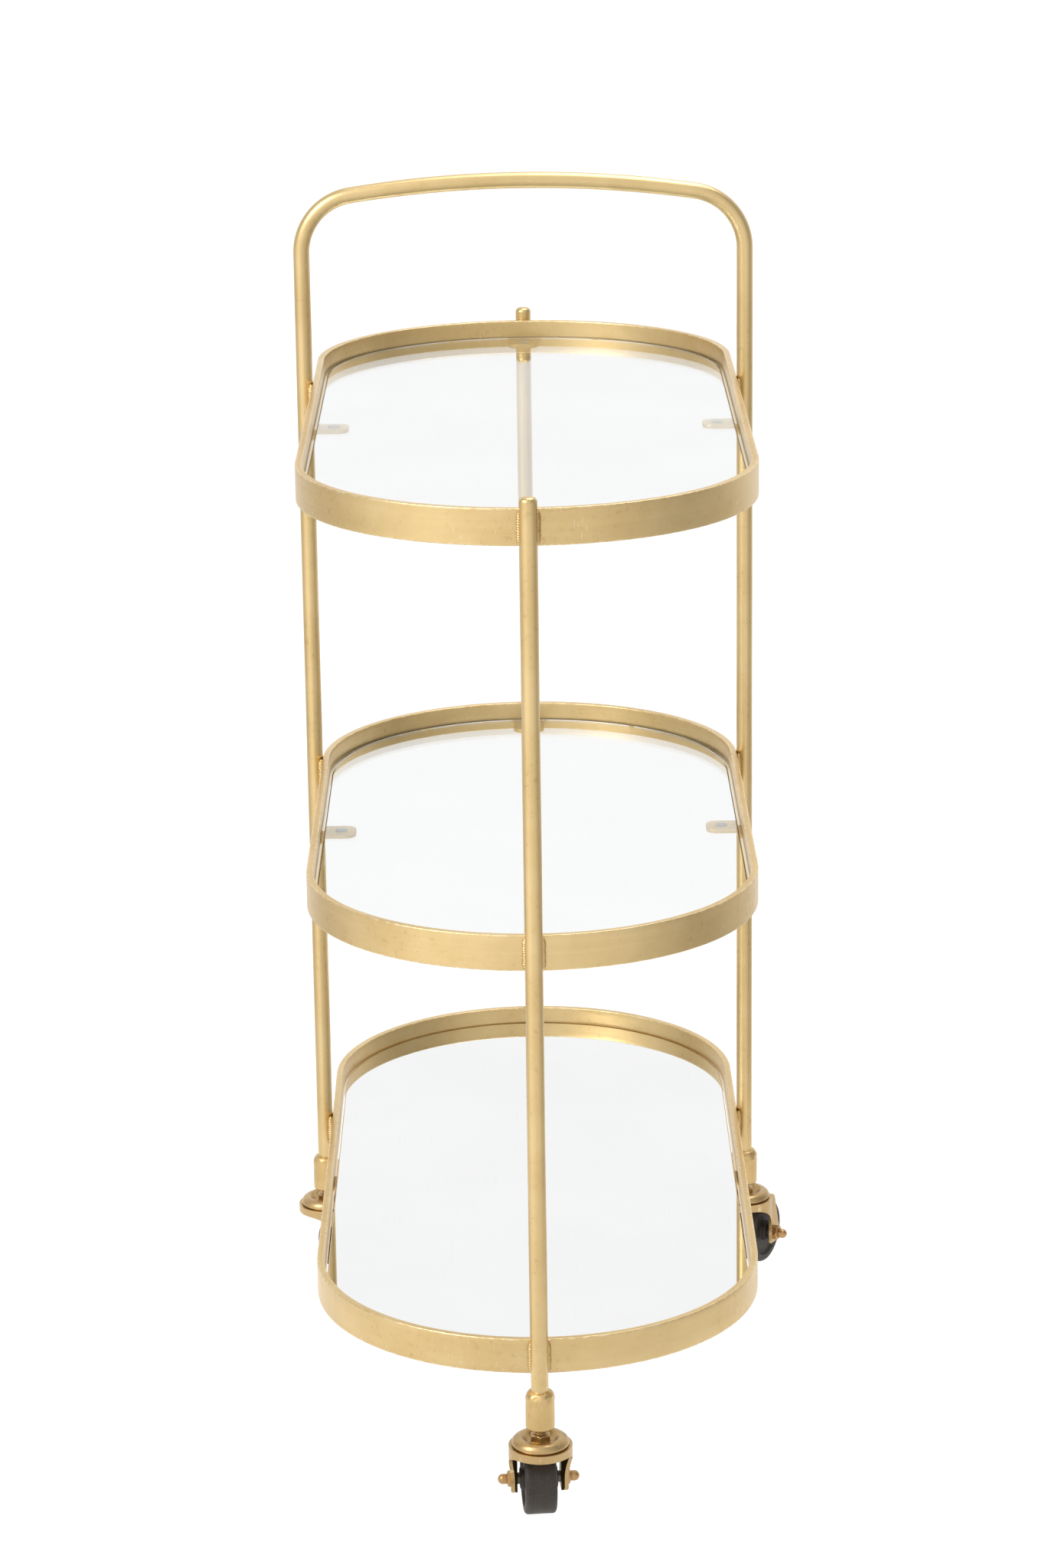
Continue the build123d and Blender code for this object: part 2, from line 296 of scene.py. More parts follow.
# Shared finishes. "acrossCo" is stored on the rings, rods, welds, tabs, plates and turned pieces, not on the
# fork, thread or balls: its place across the section.
def grainGroup():
    tree, given, out = shaderGroup(
        "drawnGrain", {"Across": 2200.0, "Along": 14.0, "Soft": 0.5}, "Grain", "Streak")
    across = addNode(tree, "ShaderNodeAttribute", attribute_name="acrossCo").outputs["Vector"]
    along = objectPlace(tree)
    fine = vectorOf(tree, "ADD", vectorOf(tree, "SCALE", across, given["Across"]),
                    vectorOf(tree, "SCALE", along, given["Along"]))
    grain = noiseOf(tree, fine, 1.0, 3.0, given["Soft"])
    broad = vectorOf(tree, "ADD", vectorOf(tree, "SCALE", across, 260.0), vectorOf(tree, "SCALE", along, 5.0))
    plug(tree, out["Grain"], grain)
    plug(tree, out["Streak"], noiseOf(tree, broad, 1.0, 2.0))
    return tree


def patinaGroup():
    white = (1, 1, 1, 1)
    tree, given, out = shaderGroup(
        "lacquerPatina", {"Light": white, "Mid": white, "Dark": white, "Blotch": 16.0, "Tarnish": 0.3},
        "Color", "Dull")
    place = objectPlace(tree)
    cloud = noiseOf(tree, place, given["Blotch"], 4.0, 0.6)
    fleck = noiseOf(tree, place, times(tree, given["Blotch"], 14.0), 3.0, 0.6)
    tone = mixColor(tree, rangeOf(tree, cloud, 0.30, 0.70), given["Mid"], given["Light"])
    cloudy = times(tree, rangeOf(tree, fleck, 0.54, 0.78), rangeOf(tree, cloud, 0.62, 0.38))
    dull = times(tree, cloudy, given["Tarnish"])
    plug(tree, out["Color"], mixColor(tree, dull, tone, given["Dark"]))
    plug(tree, out["Dull"], dull)
    return tree


def speckGroup():
    tree, given, out = shaderGroup("finePits", {"Size": 420.0, "Amount": 0.3}, "Mask")
    place = objectPlace(tree)
    cloud = addNode(tree, "ShaderNodeTexNoise", {"Vector": place, "Scale": 90.0}).outputs["Color"]
    wobble = vectorOf(tree, "ADD", place, vectorOf(tree, "SCALE", cloud, 0.004))
    cells = addNode(tree, "ShaderNodeTexVoronoi", {"Vector": wobble, "Scale": given["Size"]})
    dots = rangeOf(tree, cells.outputs["Distance"], 0.22, 0.06)
    rare = rangeOf(tree, noiseOf(tree, place, 60.0, 3.0), 0.56, 0.70)
    mask = times(tree, times(tree, dots, rare), given["Amount"], clamp=True)
    plug(tree, out["Mask"], mask)
    return tree


def scratchGroup():
    tree, given, out = shaderGroup(
        "hairScratches", {"Turn": (0.4, 0.9, 0.3), "Fineness": 900.0, "Amount": 0.3}, "Mask")
    place = objectPlace(tree)
    mapping = addNode(tree, "ShaderNodeMapping", {"Vector": place, "Scale": (1.0, 0.035, 0.2)})
    plug(tree, mapping.inputs["Rotation"], given["Turn"])
    lines = noiseOf(tree, mapping.outputs["Vector"], given["Fineness"], 1.0, 0.4)
    thin = rangeOf(tree, lines, 0.66, 0.72)
    patches = rangeOf(tree, noiseOf(tree, place, 25.0, 2.0), 0.50, 0.66)
    mask = times(tree, times(tree, thin, patches), given["Amount"], clamp=True)
    plug(tree, out["Mask"], mask)
    return tree


def edgeGroup():
    tree, given, out = shaderGroup(
        "rubbedEdgesAndHollowShade", {"Start": 0.52, "Full": 0.60, "Amount": 0.6}, "Bright", "Hollow")
    point = addNode(tree, "ShaderNodeNewGeometry").outputs["Pointiness"]
    place = objectPlace(tree)
    broken = rangeOf(tree, noiseOf(tree, place, 180.0, 4.0, 0.7), 0.36, 0.62)
    high = rangeOf(tree, point, given["Start"], given["Full"])
    bright = times(tree, times(tree, high, broken), given["Amount"])
    plug(tree, out["Bright"], bright)
    # Hollow is painted shade: it rises to 1 where the surface turns concave, to darken it there
    plug(tree, out["Hollow"], rangeOf(tree, point, 0.49, 0.44))
    return tree


def barEdgeGroup():
    # how near a point of the flat bar is to one of its four long edges
    tree, given, out = shaderGroup("barEdges", {"Half Size": (0.0025, 0.0125, 0), "Reach": 0.0016}, "Edge")
    across = addNode(tree, "ShaderNodeAttribute", attribute_name="acrossCo").outputs["Vector"]
    left = vectorOf(tree, "SUBTRACT", given["Half Size"], vectorOf(tree, "ABSOLUTE", across))
    parts = addNode(tree, "ShaderNodeSeparateXYZ", {"Vector": left})
    away = plus(tree, parts.outputs["X"], parts.outputs["Y"])
    plug(tree, out["Edge"], rangeOf(tree, away, given["Reach"], 0.0002))
    return tree


drawnGrain = grainGroup()
lacquerPatina = patinaGroup()
finePits = speckGroup()
hairScratches = scratchGroup()
rubbedEdgesAndHollowShade = edgeGroup()
barEdges = barEdgeGroup()
print("stage: finish groups made")


def placeGroup(tree, group, **values):
    node = addNode(tree, "ShaderNodeGroup", node_tree=group)
    for label, value in values.items():
        plug(tree, node.inputs[label.replace("_", " ")], value)
    return node.outputs


def newMaterial(name):
    material = bpy.data.materials.new(name)
    material.use_nodes = True
    tree = material.node_tree
    return material, tree, tree.nodes["Principled BSDF"]


def opaque(color):
    return (*color, 1.0)


def patinaOf(tree, s, blotch, tarnish):
    tones = {label: opaque(s[label.lower()]) for label in ("Light", "Mid", "Dark")}
    return placeGroup(tree, lacquerPatina, Blotch=blotch, Tarnish=tarnish, **tones)


def heatTint(tree, color, tint):
    # brown bloom left by welding, where a piece stores how near a weld it is
    near = addNode(tree, "ShaderNodeAttribute", attribute_name="heat").outputs["Fac"]
    place = objectPlace(tree)
    broken = rangeOf(tree, noiseOf(tree, place, 210.0, 4.0, 0.7), 0.38, 0.66)
    stain = times(tree, near, plus(tree, times(tree, broken, 0.7), 0.25))
    return mixColor(tree, stain, color, tint)


def brassMaterial(name, s):
    material, tree, shader = newMaterial(name)
    patina = patinaOf(tree, s, s["blotch"], s["tarnish"])
    grain = placeGroup(tree, drawnGrain, Across=s["across"], Along=s["along"])
    edges = placeGroup(tree, rubbedEdgesAndHollowShade, Amount=s["rubbed"])
    pits = placeGroup(tree, finePits, Size=s["pitSize"], Amount=s["pits"])
    scratches = placeGroup(tree, hairScratches, Amount=s["scratches"])
    streaks = times(tree, grain["Streak"], s["streak"])
    color = mixColor(tree, streaks, patina["Color"], opaque(s["dark"]))
    place = objectPlace(tree)
    bright = mathOf(tree, "MAXIMUM", edges["Bright"], scratches["Mask"])
    if s.get("bar"):
        rim = placeGroup(tree, barEdges)["Edge"]
        nicks = rangeOf(tree, noiseOf(tree, place, 240.0, 4.0, 0.7), 0.42, 0.62)
        bright = mathOf(tree, "MAXIMUM", bright, times(tree, times(tree, rim, nicks), 0.8))
    color = mixColor(tree, bright, color, opaque(s["worn"]))
    # painted shade: concave spots are darkened toward the dark tone, as the fine pits are by real dirt
    shadow = times(tree, edges["Hollow"], s["hollowShade"])
    color = mixColor(tree, mathOf(tree, "MAXIMUM", shadow, pits["Mask"]), color, opaque(s["stainAndShade"]))
    color = heatTint(tree, color, opaque(s["stainAndShade"]))
    plug(tree, shader.inputs["Base Color"], color)
    rough = plus(tree, s["rough"], times(tree, grain["Grain"], s["roughSpread"]))
    rough = plus(tree, rough, times(tree, patina["Dull"], 0.25), clamp=True)
    plug(tree, shader.inputs["Roughness"], rough)
    shader.inputs["Metallic"].default_value = 1.0
    shader.inputs["Coat Weight"].default_value = s["coat"]
    shader.inputs["Coat Roughness"].default_value = 0.28
    lumps = times(tree, noiseOf(tree, place, s["lumpSize"], 3.0, 0.55), s["lump"])
    height = plus(tree, times(tree, grain["Grain"], s["grain"]), lumps)
    height = mathOf(tree, "SUBTRACT", height, times(tree, pits["Mask"], 0.35))
    addBump(tree, shader, height, s["bump"], 0.4 * mm)
    return material


brassBase = {
    "light": (0.80, 0.603, 0.305),
    "mid": (0.71, 0.515, 0.238),
    "dark": (0.36, 0.225, 0.085),
    "worn": (0.90, 0.74, 0.48),
    # one dark tone for dirt in pits, weld heat stain and the painted shade in hollows
    "stainAndShade": (0.135, 0.080, 0.030),
    "blotch": 16.0,
    "tarnish": 0.35,
    "across": 2200.0,
    "along": 14.0,
    "streak": 0.22,
    "rubbed": 0.25,
    # strength of the painted shade in hollows
    "hollowShade": 0.35,
    "pitSize": 420.0,
    "pits": 0.5,
    "scratches": 0.35,
    "rough": 0.29,
    "roughSpread": 0.12,
    "coat": 0.15,
    "grain": 0.55,
    "lump": 0.6,
    "lumpSize": 26.0,
    "bump": 0.35,
}
ringBrass = brassMaterial("ringBrass", dict(brassBase, bar=True))
rodBrass = brassMaterial("rodBrass", dict(brassBase, along=9.0, streak=0.18, scratches=0.22, rough=0.27))
tabBrass = brassMaterial("tabBrass", dict(brassBase, rough=0.36, tarnish=0.5))
weldBrass = brassMaterial(
    "weldBrass",
    dict(brassBase, mid=(0.60, 0.42, 0.18), rough=0.34, hollowShade=0.75, rubbed=0.6, pits=0.8, lumpSize=300.0),
)
socketBrass = brassMaterial(
    "socketBrass",
    dict(brassBase, light=(0.74, 0.53, 0.245), mid=(0.64, 0.445, 0.19), rough=0.30, rubbed=0.5, hollowShade=0.6,
         lump=1.2, lumpSize=130.0, pits=0.7),
)
casterBrass = brassMaterial(
    "casterBrass",
    dict(brassBase, light=(0.66, 0.465, 0.225), mid=(0.53, 0.36, 0.16), dark=(0.26, 0.16, 0.065), rough=0.27,
         rubbed=0.7, hollowShade=0.85, streak=0.3, tarnish=0.6, pits=0.8, lumpSize=160.0),
)
nutBrass = brassMaterial(
    "nutBrass",
    dict(brassBase, light=(0.60, 0.37, 0.165), mid=(0.50, 0.30, 0.125), dark=(0.24, 0.13, 0.05), rough=0.26,
         rubbed=0.7, hollowShade=0.8, tarnish=0.6),
)


def steelMaterial(name, s):
    material, tree, shader = newMaterial(name)
    patina = patinaOf(tree, s, 60.0, 0.8)
    grain = placeGroup(tree, drawnGrain, Across=1800.0, Along=20.0)
    edges = placeGroup(tree, rubbedEdgesAndHollowShade, Amount=0.5)
    color = mixColor(tree, edges["Bright"], patina["Color"], opaque(s["light"]))
    plug(tree, shader.inputs["Base Color"], color)
    rough = rangeOf(tree, grain["Grain"], 0.2, 0.8, s["rough"], s["rough"] + 0.16)
    plug(tree, shader.inputs["Roughness"], rough)
    shader.inputs["Metallic"].default_value = 1.0
    addBump(tree, shader, grain["Grain"], 0.2, 0.3 * mm)
    return material


oiledSteel = steelMaterial("oiledSteel", {"light": (0.20, 0.18, 0.15), "mid": (0.09, 0.08, 0.065),
                                          "dark": (0.035, 0.027, 0.02), "rough": 0.36})
ballSteel = steelMaterial("ballSteel", {"light": (0.55, 0.54, 0.52), "mid": (0.40, 0.39, 0.37),
                                        "dark": (0.12, 0.10, 0.08), "rough": 0.18})


def wheelMaterial(s):
    material, tree, shader = newMaterial("wheelBlack")
    patina = patinaOf(tree, s, 55.0, 0.45)
    grain = placeGroup(tree, drawnGrain, Across=1500.0, Along=45.0)
    scuffs = placeGroup(tree, hairScratches, Turn=(0.2, 0.1, 1.1), Fineness=620.0, Amount=0.7)
    specks = placeGroup(tree, finePits, Size=620.0, Amount=0.8)
    edges = placeGroup(tree, rubbedEdgesAndHollowShade, Start=0.505, Full=0.56, Amount=0.35)
    dusty = mathOf(tree, "MAXIMUM", mathOf(tree, "MAXIMUM", scuffs["Mask"], specks["Mask"]), edges["Bright"])
    plug(tree, shader.inputs["Base Color"], mixColor(tree, dusty, patina["Color"], opaque(s["dark"])))
    plug(tree, shader.inputs["Roughness"], rangeOf(tree, grain["Grain"], 0.2, 0.8, 0.48, 0.66))
    height = mathOf(tree, "SUBTRACT", grain["Grain"], times(tree, specks["Mask"], 0.8))
    addBump(tree, shader, height, 0.5, 0.4 * mm)
    return material


# faded tread, fresh tread and dust
wheelBlack = wheelMaterial({"light": (0.040, 0.030, 0.020), "mid": (0.021, 0.015, 0.010),
                            "dark": (0.17, 0.135, 0.100)})


def letShadowsThrough(tree, shader):
    # light passes a clear plate instead of leaving a black shadow under it
    path = addNode(tree, "ShaderNodeLightPath").outputs["Is Shadow Ray"]
    clear = addNode(tree, "ShaderNodeBsdfTransparent", {"Color": (0.93, 0.96, 0.95, 1)})
    mix = addNode(tree, "ShaderNodeMixShader", {"Fac": path})
    plug(tree, mix.inputs[1], shader.outputs[0])
    plug(tree, mix.inputs[2], clear.outputs[0])
    plug(tree, tree.nodes["Material Output"].inputs["Surface"], mix.outputs[0])


def plateFaceMaterial(name, s):
    material, tree, shader = newMaterial(name)
    place = objectPlace(tree)
    smear = noiseOf(tree, place, 7.0, 4.0, 0.6)
    wiped = placeGroup(tree, hairScratches, Turn=(0.0, 0.0, 0.7), Fineness=420.0, Amount=0.5)
    specks = placeGroup(tree, finePits, Size=160.0, Amount=0.6)
    marks = mathOf(tree, "MAXIMUM", wiped["Mask"], specks["Mask"])
    tone = mixColor(tree, rangeOf(tree, smear, 0.3, 0.7), opaque(s["clear"]), opaque(s["hazy"]))
    color = mixColor(tree, times(tree, marks, s["marks"]), tone, opaque(s["dust"]))
    plug(tree, shader.inputs["Base Color"], color)
    rough = plus(tree, rangeOf(tree, smear, 0.35, 0.75, 0.0, s["haze"]),
                   times(tree, marks, s["markRough"]))
    plug(tree, shader.inputs["Roughness"], rough)
    shader.inputs["Metallic"].default_value = s["metallic"]
    shader.inputs["Transmission Weight"].default_value = s["transmission"]
    shader.inputs["IOR"].default_value = 1.5
    addBump(tree, shader, noiseOf(tree, place, 3.0, 1.0), 0.02, 1 * mm)
    if s["transmission"] > 0:
        letShadowsThrough(tree, shader)
    return material


clearGlass = plateFaceMaterial("clearGlass", {
    "clear": (0.862, 0.875, 0.869), "hazy": (0.842, 0.856, 0.850), "dust": (0.80, 0.81, 0.80), "marks": 0.25,
    "haze": 0.012, "markRough": 0.10, "metallic": 0.0, "transmission": 1.0,
})
mirrorFace = plateFaceMaterial("mirrorFace", {
    "clear": (0.905, 0.915, 0.910), "hazy": (0.885, 0.895, 0.890), "dust": (0.78, 0.78, 0.77), "marks": 0.35,
    "haze": 0.02, "markRough": 0.15, "metallic": 1.0, "transmission": 0.0,
})


def groundEdgeMaterial(name, s):
    material, tree, shader = newMaterial(name)
    patina = patinaOf(tree, s, 90.0, 0.5)
    grain = placeGroup(tree, drawnGrain, Across=3000.0, Along=120.0)
    plug(tree, shader.inputs["Base Color"], patina["Color"])
    plug(tree, shader.inputs["Roughness"], rangeOf(tree, grain["Grain"], 0.2, 0.8, 0.22, 0.45))
    shader.inputs["Transmission Weight"].default_value = s["transmission"]
    addBump(tree, shader, grain["Grain"], 0.35, 0.2 * mm)
    return material


groundEdge = groundEdgeMaterial("groundEdge", {"light": (0.34, 0.45, 0.39), "mid": (0.20, 0.30, 0.25),
                                               "dark": (0.10, 0.14, 0.11), "transmission": 0.35})
mirrorBack = groundEdgeMaterial("mirrorBackPaint", {"light": (0.23, 0.24, 0.25), "mid": (0.17, 0.18, 0.19),
                                                    "dark": (0.10, 0.09, 0.085), "transmission": 0.0})
clearPad = groundEdgeMaterial("clearPad", {"light": (0.93, 0.94, 0.93), "mid": (0.88, 0.89, 0.88),
                                           "dark": (0.72, 0.70, 0.66), "transmission": 0.75})
print("stage: materials made")


# Meshes
def meshFrom(name, verts, faces, across=None, faceSlots=None):
    mesh = bpy.data.meshes.new(name)
    mesh.from_pydata([tuple(v) for v in verts], [], faces)
    if across is not None:
        stored = mesh.attributes.new("acrossCo", "FLOAT_VECTOR", "POINT")
        stored.data.foreach_set("vector", [value for point in across for value in point])
    if faceSlots is not None:
        mesh.polygons.foreach_set("material_index", faceSlots)
    return mesh


def settle(mesh, sharpDeg):
    # outward faces, then smooth shading with creases where the form turns sharply
    bm = bmesh.new()
    bm.from_mesh(mesh)
    bmesh.ops.recalc_face_normals(bm, faces=bm.faces)
    bm.to_mesh(mesh)
    bm.free()
    mesh.shade_smooth()
    mesh.set_sharp_from_angle(angle=math.radians(sharpDeg))


def addPiece(name, mesh, materials, body, nodes, sharpDeg=0):
    if sharpDeg:
        settle(mesh, sharpDeg)
    mesh.materials.clear()
    for material in materials:
        mesh.materials.append(material)
    piece = linked(name, mesh)
    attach(piece, body)
    if nodes:
        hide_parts(*nodes)


def bandFaces(rows, count):
    # the quads between neighbouring loops of count points each
    faces = []
    for a in range(0, (rows - 1) * count, count):
        for step in range(count):
            after = (step + 1) % count
            faces.append([a + step, a + after, a + count + after, a + count + step])
    return faces


def roundedPath(points, steps=4):
    # (r, z, corner radius) points to a polyline whose corners are arcs
    result = []
    last = len(points) - 1
    for index, (r, z, size) in enumerate(points):
        here = Vector((r, z))
        if size <= 0 or index in (0, last):
            result.append((r, z))
            continue
        before = (Vector(points[index - 1][:2]) - here).normalized()
        after = (Vector(points[index + 1][:2]) - here).normalized()
        half = before.angle(after) / 2
        reach = size / math.tan(half)
        centre = here + (before + after).normalized() * (size / math.sin(half))
        start = here + before * reach - centre
        sweep = start.angle_signed(here + after * reach - centre)
        for step in range(steps + 1):
            spoke = start.copy()
            spoke.rotate(Matrix.Rotation(-sweep * step / steps, 2))
            result.append(tuple(centre + spoke))
    return result


def turnedMesh(name, profile, segments, place, warp=None, closed=False):
    # turns (r, z) points about Z; r of zero makes a closed pole, and warp may move each point
    verts, across, rows, faces = [], [], [], []
    for r, z in profile:
        count = 1 if r < 1e-7 else segments
        rows.append(list(range(len(verts), len(verts) + count)))
        for step in range(count):
            angle = math.tau * step / segments
            radius, height = warp(r, z, angle) if warp else (r, z)
            verts.append(place @ Vector((radius * math.cos(angle), radius * math.sin(angle), height)))
            across.append((r, z, 0))
    pairs = list(zip(rows, rows[1:]))
    if closed:
        pairs.append((rows[-1], rows[0]))
    for low, high in pairs:
        for step in range(segments):
            after = (step + 1) % segments
            loop = [low[step % len(low)], low[after % len(low)],
                    high[after % len(high)], high[step % len(high)]]
            face = [v for index, v in enumerate(loop) if v not in loop[:index]]
            if len(face) > 2:
                faces.append(face)
    return meshFrom(name, verts, faces, across)


def denser(profile, step):
    # extra points along straight runs, so that a warp has something to move
    result = [profile[0]]
    for point in profile[1:]:
        start = Vector(result[-1])
        run = Vector(point) - start
        count = max(1, int(run.length / step))
        result.extend(tuple(start + run * (k / count)) for k in range(1, count + 1))
    return result


def hexReach(angle, flatWidth):
    # distance from the centre to the side of a hexagon whose corners are at 30, 90, ... degrees
    sixth = math.radians(60)
    off = (angle + sixth / 2) % sixth - sixth / 2
    return flatWidth / 2 / math.cos(off)


# Geometry Nodes: each tree is made once, with named sizes, and its result is turned into a plain mesh
def plainMesh(holder):
    graph = bpy.context.evaluated_depsgraph_get()
    mesh = bpy.data.meshes.new_from_object(holder.evaluated_get(graph), depsgraph=graph)
    holder.modifiers.clear()
    bpy.data.objects.remove(holder)
    return mesh


def treeMesh(tree, values, start=None):
    holder = linked("seed", start or bpy.data.meshes.new("seed"))
    modifier = holder.modifiers.new("rule", "NODES")
    modifier.node_group = tree
    for item in tree.interface.items_tree:
        if item.in_out == "INPUT" and item.name in values:
            modifier[item.identifier] = values[item.name]
    return plainMesh(holder)


def finishTree(tree, out, geometry, material):
    real = addNode(tree, "GeometryNodeRealizeInstances", {"Geometry": geometry})
    painted = addNode(tree, "GeometryNodeSetMaterial", {"Geometry": real.outputs[0], "Material": material})
    plug(tree, out["Geometry"], painted.outputs[0])


geometryOut = [("Geometry", "NodeSocketGeometry")]
materialIn = ("Material", "NodeSocketMaterial", None)


def shelfRingTree():
    # rule: a circle pulled apart into a slot, evened out, wavered by hand bending, swept with the bar
    tree, given, out = newGroup("shelfRing", "GeometryNodeTree", [
        ("Length", floatSocket, 0.702), ("Width", floatSocket, 0.316), ("Bar Thickness", floatSocket, 0.005),
        ("Steps", "NodeSocketInt", 420), ("Hand Waver", floatSocket, 0.0003),
        ("Bar", "NodeSocketObject", None), materialIn,
    ], geometryOut)
    radius = mathOf(tree, "DIVIDE", mathOf(tree, "SUBTRACT", given["Width"], given["Bar Thickness"]), 2.0)
    circle = addNode(tree, "GeometryNodeMeshCircle", {"Vertices": 256, "Radius": radius})
    place = addNode(tree, "GeometryNodeInputPosition").outputs[0]
    parts = addNode(tree, "ShaderNodeSeparateXYZ", {"Vector": place})
    straight = mathOf(tree, "DIVIDE", mathOf(tree, "SUBTRACT", given["Length"], given["Width"]), 2.0)
    apart = times(tree, mathOf(tree, "SIGN", parts.outputs["Y"]), straight)
    offset = addNode(tree, "ShaderNodeCombineXYZ", {"Y": apart})
    slotShape = addNode(tree, "GeometryNodeSetPosition", {
        "Geometry": circle.outputs[0], "Offset": offset.outputs[0]})
    path = addNode(tree, "GeometryNodeMeshToCurve", {"Mesh": slotShape.outputs[0]})
    even = addNode(tree, "GeometryNodeResampleCurve", {"Curve": path.outputs[0], "Count": given["Steps"]})
    cloud = addNode(tree, "ShaderNodeTexNoise", {"Vector": place, "Scale": 7.0, "Detail": 2.0})
    centred = vectorOf(tree, "SUBTRACT", cloud.outputs["Color"], (0.5, 0.5, 0.5))
    waver = vectorOf(tree, "SCALE", vectorOf(tree, "MULTIPLY", centred, (2, 2, 0.6)), given["Hand Waver"])
    bent = addNode(tree, "GeometryNodeSetPosition", {"Geometry": even.outputs[0], "Offset": waver})
    upright = addNode(tree, "GeometryNodeSetCurveNormal", {"Curve": bent.outputs[0]}, mode="Z_UP")
    bar = addNode(tree, "GeometryNodeObjectInfo", {"Object": given["Bar"]})
    marked = addNode(tree, "GeometryNodeStoreNamedAttribute", {"Geometry": bar.outputs["Geometry"],
                     "Name": "acrossCo", "Value": place}, data_type="FLOAT_VECTOR", domain="POINT")
    swept = addNode(tree, "GeometryNodeCurveToMesh", {
        "Curve": upright.outputs[0], "Profile Curve": marked.outputs[0]})
    finishTree(tree, out, swept.outputs[0], given["Material"])
    return tree


def barSection(s, height):
    # the bar's rounded outline, drawn once round from the middle of its lower edge
    x, y, corner = s["barThickness"] / 2, height / 2, s["edgeRadius"]
    outline = [(0, -y, 0), (x, -y, corner), (x, y, corner), (-x, y, corner), (-x, -y, corner), (0, -y, 0)]
    points = denser(roundedPath(outline, 4), s["sectionStep"])[:-1]
    curve = bpy.data.curves.new("barSection", "CURVE")
    spline = curve.splines.new("POLY")
    spline.points.add(len(points) - 1)
    for point, (x, y) in zip(spline.points, points):
        point.co = (x, y, 0, 1)
    spline.use_cyclic_u = True
    return linked("barSection", curve)


ringSettings = {"barThickness": 5 * mm, "edgeRadius": 0.8 * mm, "sectionStep": 2.8 * mm, "steps": 420,
                "waver": 0.25 * mm, "weldBloom": 9 * mm}
legSpots = []
for legName in ("front_leg", "rear_leg"):
    low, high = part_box(legName)
    legSpots.append(Vector(((low.x + high.x) / 2, (low.y + high.y) / 2)))
handleLow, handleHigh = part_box("handle_frame")
rodRadius = (handleHigh.y - handleLow.y) / 2
sideY = (handleHigh.y + handleLow.y) / 2
legSpots.append(Vector((handleLow.x + rodRadius, sideY)))
legSpots.append(Vector((handleHigh.x - rodRadius, sideY)))


def storeHeat(mesh, reach):
    # 1 beside a weld, fading to 0 a few centimetres away
    values = []
    for vertex in mesh.vertices:
        away = min((Vector(vertex.co[:2]) - spot).length for spot in legSpots) - rodRadius
        values.append(math.exp(-max(away, 0) / reach))
    mesh.attributes.new("heat", "FLOAT", "POINT").data.foreach_set("value", values)


def makeRings(s):
    tree = shelfRingTree()
    for shelf in ("top", "middle", "bottom"):
        low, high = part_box(shelf + "_ring")
        section = barSection(s, high.z - low.z)
        mesh = treeMesh(tree, {
            "Length": high.y - low.y, "Width": high.x - low.x, "Bar Thickness": s["barThickness"],
            "Steps": s["steps"], "Hand Waver": s["waver"], "Bar": section, "Material": ringBrass,
        })
        bpy.data.objects.remove(section)
        mesh.name = shelf + "Ring"
        mesh.transform(Matrix.Translation((low + high) / 2))
        storeHeat(mesh, s["weldBloom"])
        addPiece(shelf + "Ring", mesh, [ringBrass], "frame", [shelf + "_ring"], 50)


makeRings(ringSettings)
print("stage: shelf rings made")

rodSettings = {"segments": 40, "step": 4 * mm, "tipRound": 3.5 * mm, "waver": 0.12 * mm,
               "archRadius": 855 * mm, "archSteps": 34, "cornerRadius": 43 * mm, "cornerSteps": 22}


def rodMesh(name, path, radii, s):
    # a round rod swept along path, with a closed end at each side
    verts, across = [], []
    segments = s["segments"]
    sideways = Vector((0, 1, 0))
    for index, point in enumerate(path):
        before, after = path[max(index - 1, 0)], path[min(index + 1, len(path) - 1)]
        forward = (after - before).normalized()
        sideways = (sideways - forward * sideways.dot(forward)).normalized()
        other = forward.cross(sideways)
        drift = Vector((noise.noise(point * 9), noise.noise(point * 9 + Vector((5, 5, 5))), 0)) * s["waver"]
        for step in range(segments):
            angle = math.tau * step / segments
            spoke = sideways * math.cos(angle) + other * math.sin(angle)
            verts.append(point + drift + spoke * radii[index])
            across.append((math.cos(angle) * rodRadius, math.sin(angle) * rodRadius, 0))
    faces = bandFaces(len(path), segments)
    for row, centre in ((0, path[0]), (len(path) - 1, path[-1])):
        verts.append(centre)
        across.append((0, 0, 0))
        for step in range(segments):
            faces.append([row * segments + step, row * segments + (step + 1) % segments, len(verts) - 1])
    return meshFrom(name, verts, faces, across)


def straightPath(start, end, s):
    count = int((end - start).length / s["step"])
    return [start.lerp(end, k / count) for k in range(count + 1)]


def roundTip(path, s):
    # dresses the last end round: the new path, and the rod's radius along it
    end = path[-1]
    base = end - (end - path[-2]).normalized() * s["tipRound"]
    keep = [p for p in path if (end - p).length > s["tipRound"]]
    radii = [rodRadius] * len(keep)
    for k in range(9):
        angle = math.radians(90 * k / 8)
        keep.append(base.lerp(end, math.sin(angle)))
        radii.append(rodRadius - s["tipRound"] * (1 - math.cos(angle)))
    return keep, radii


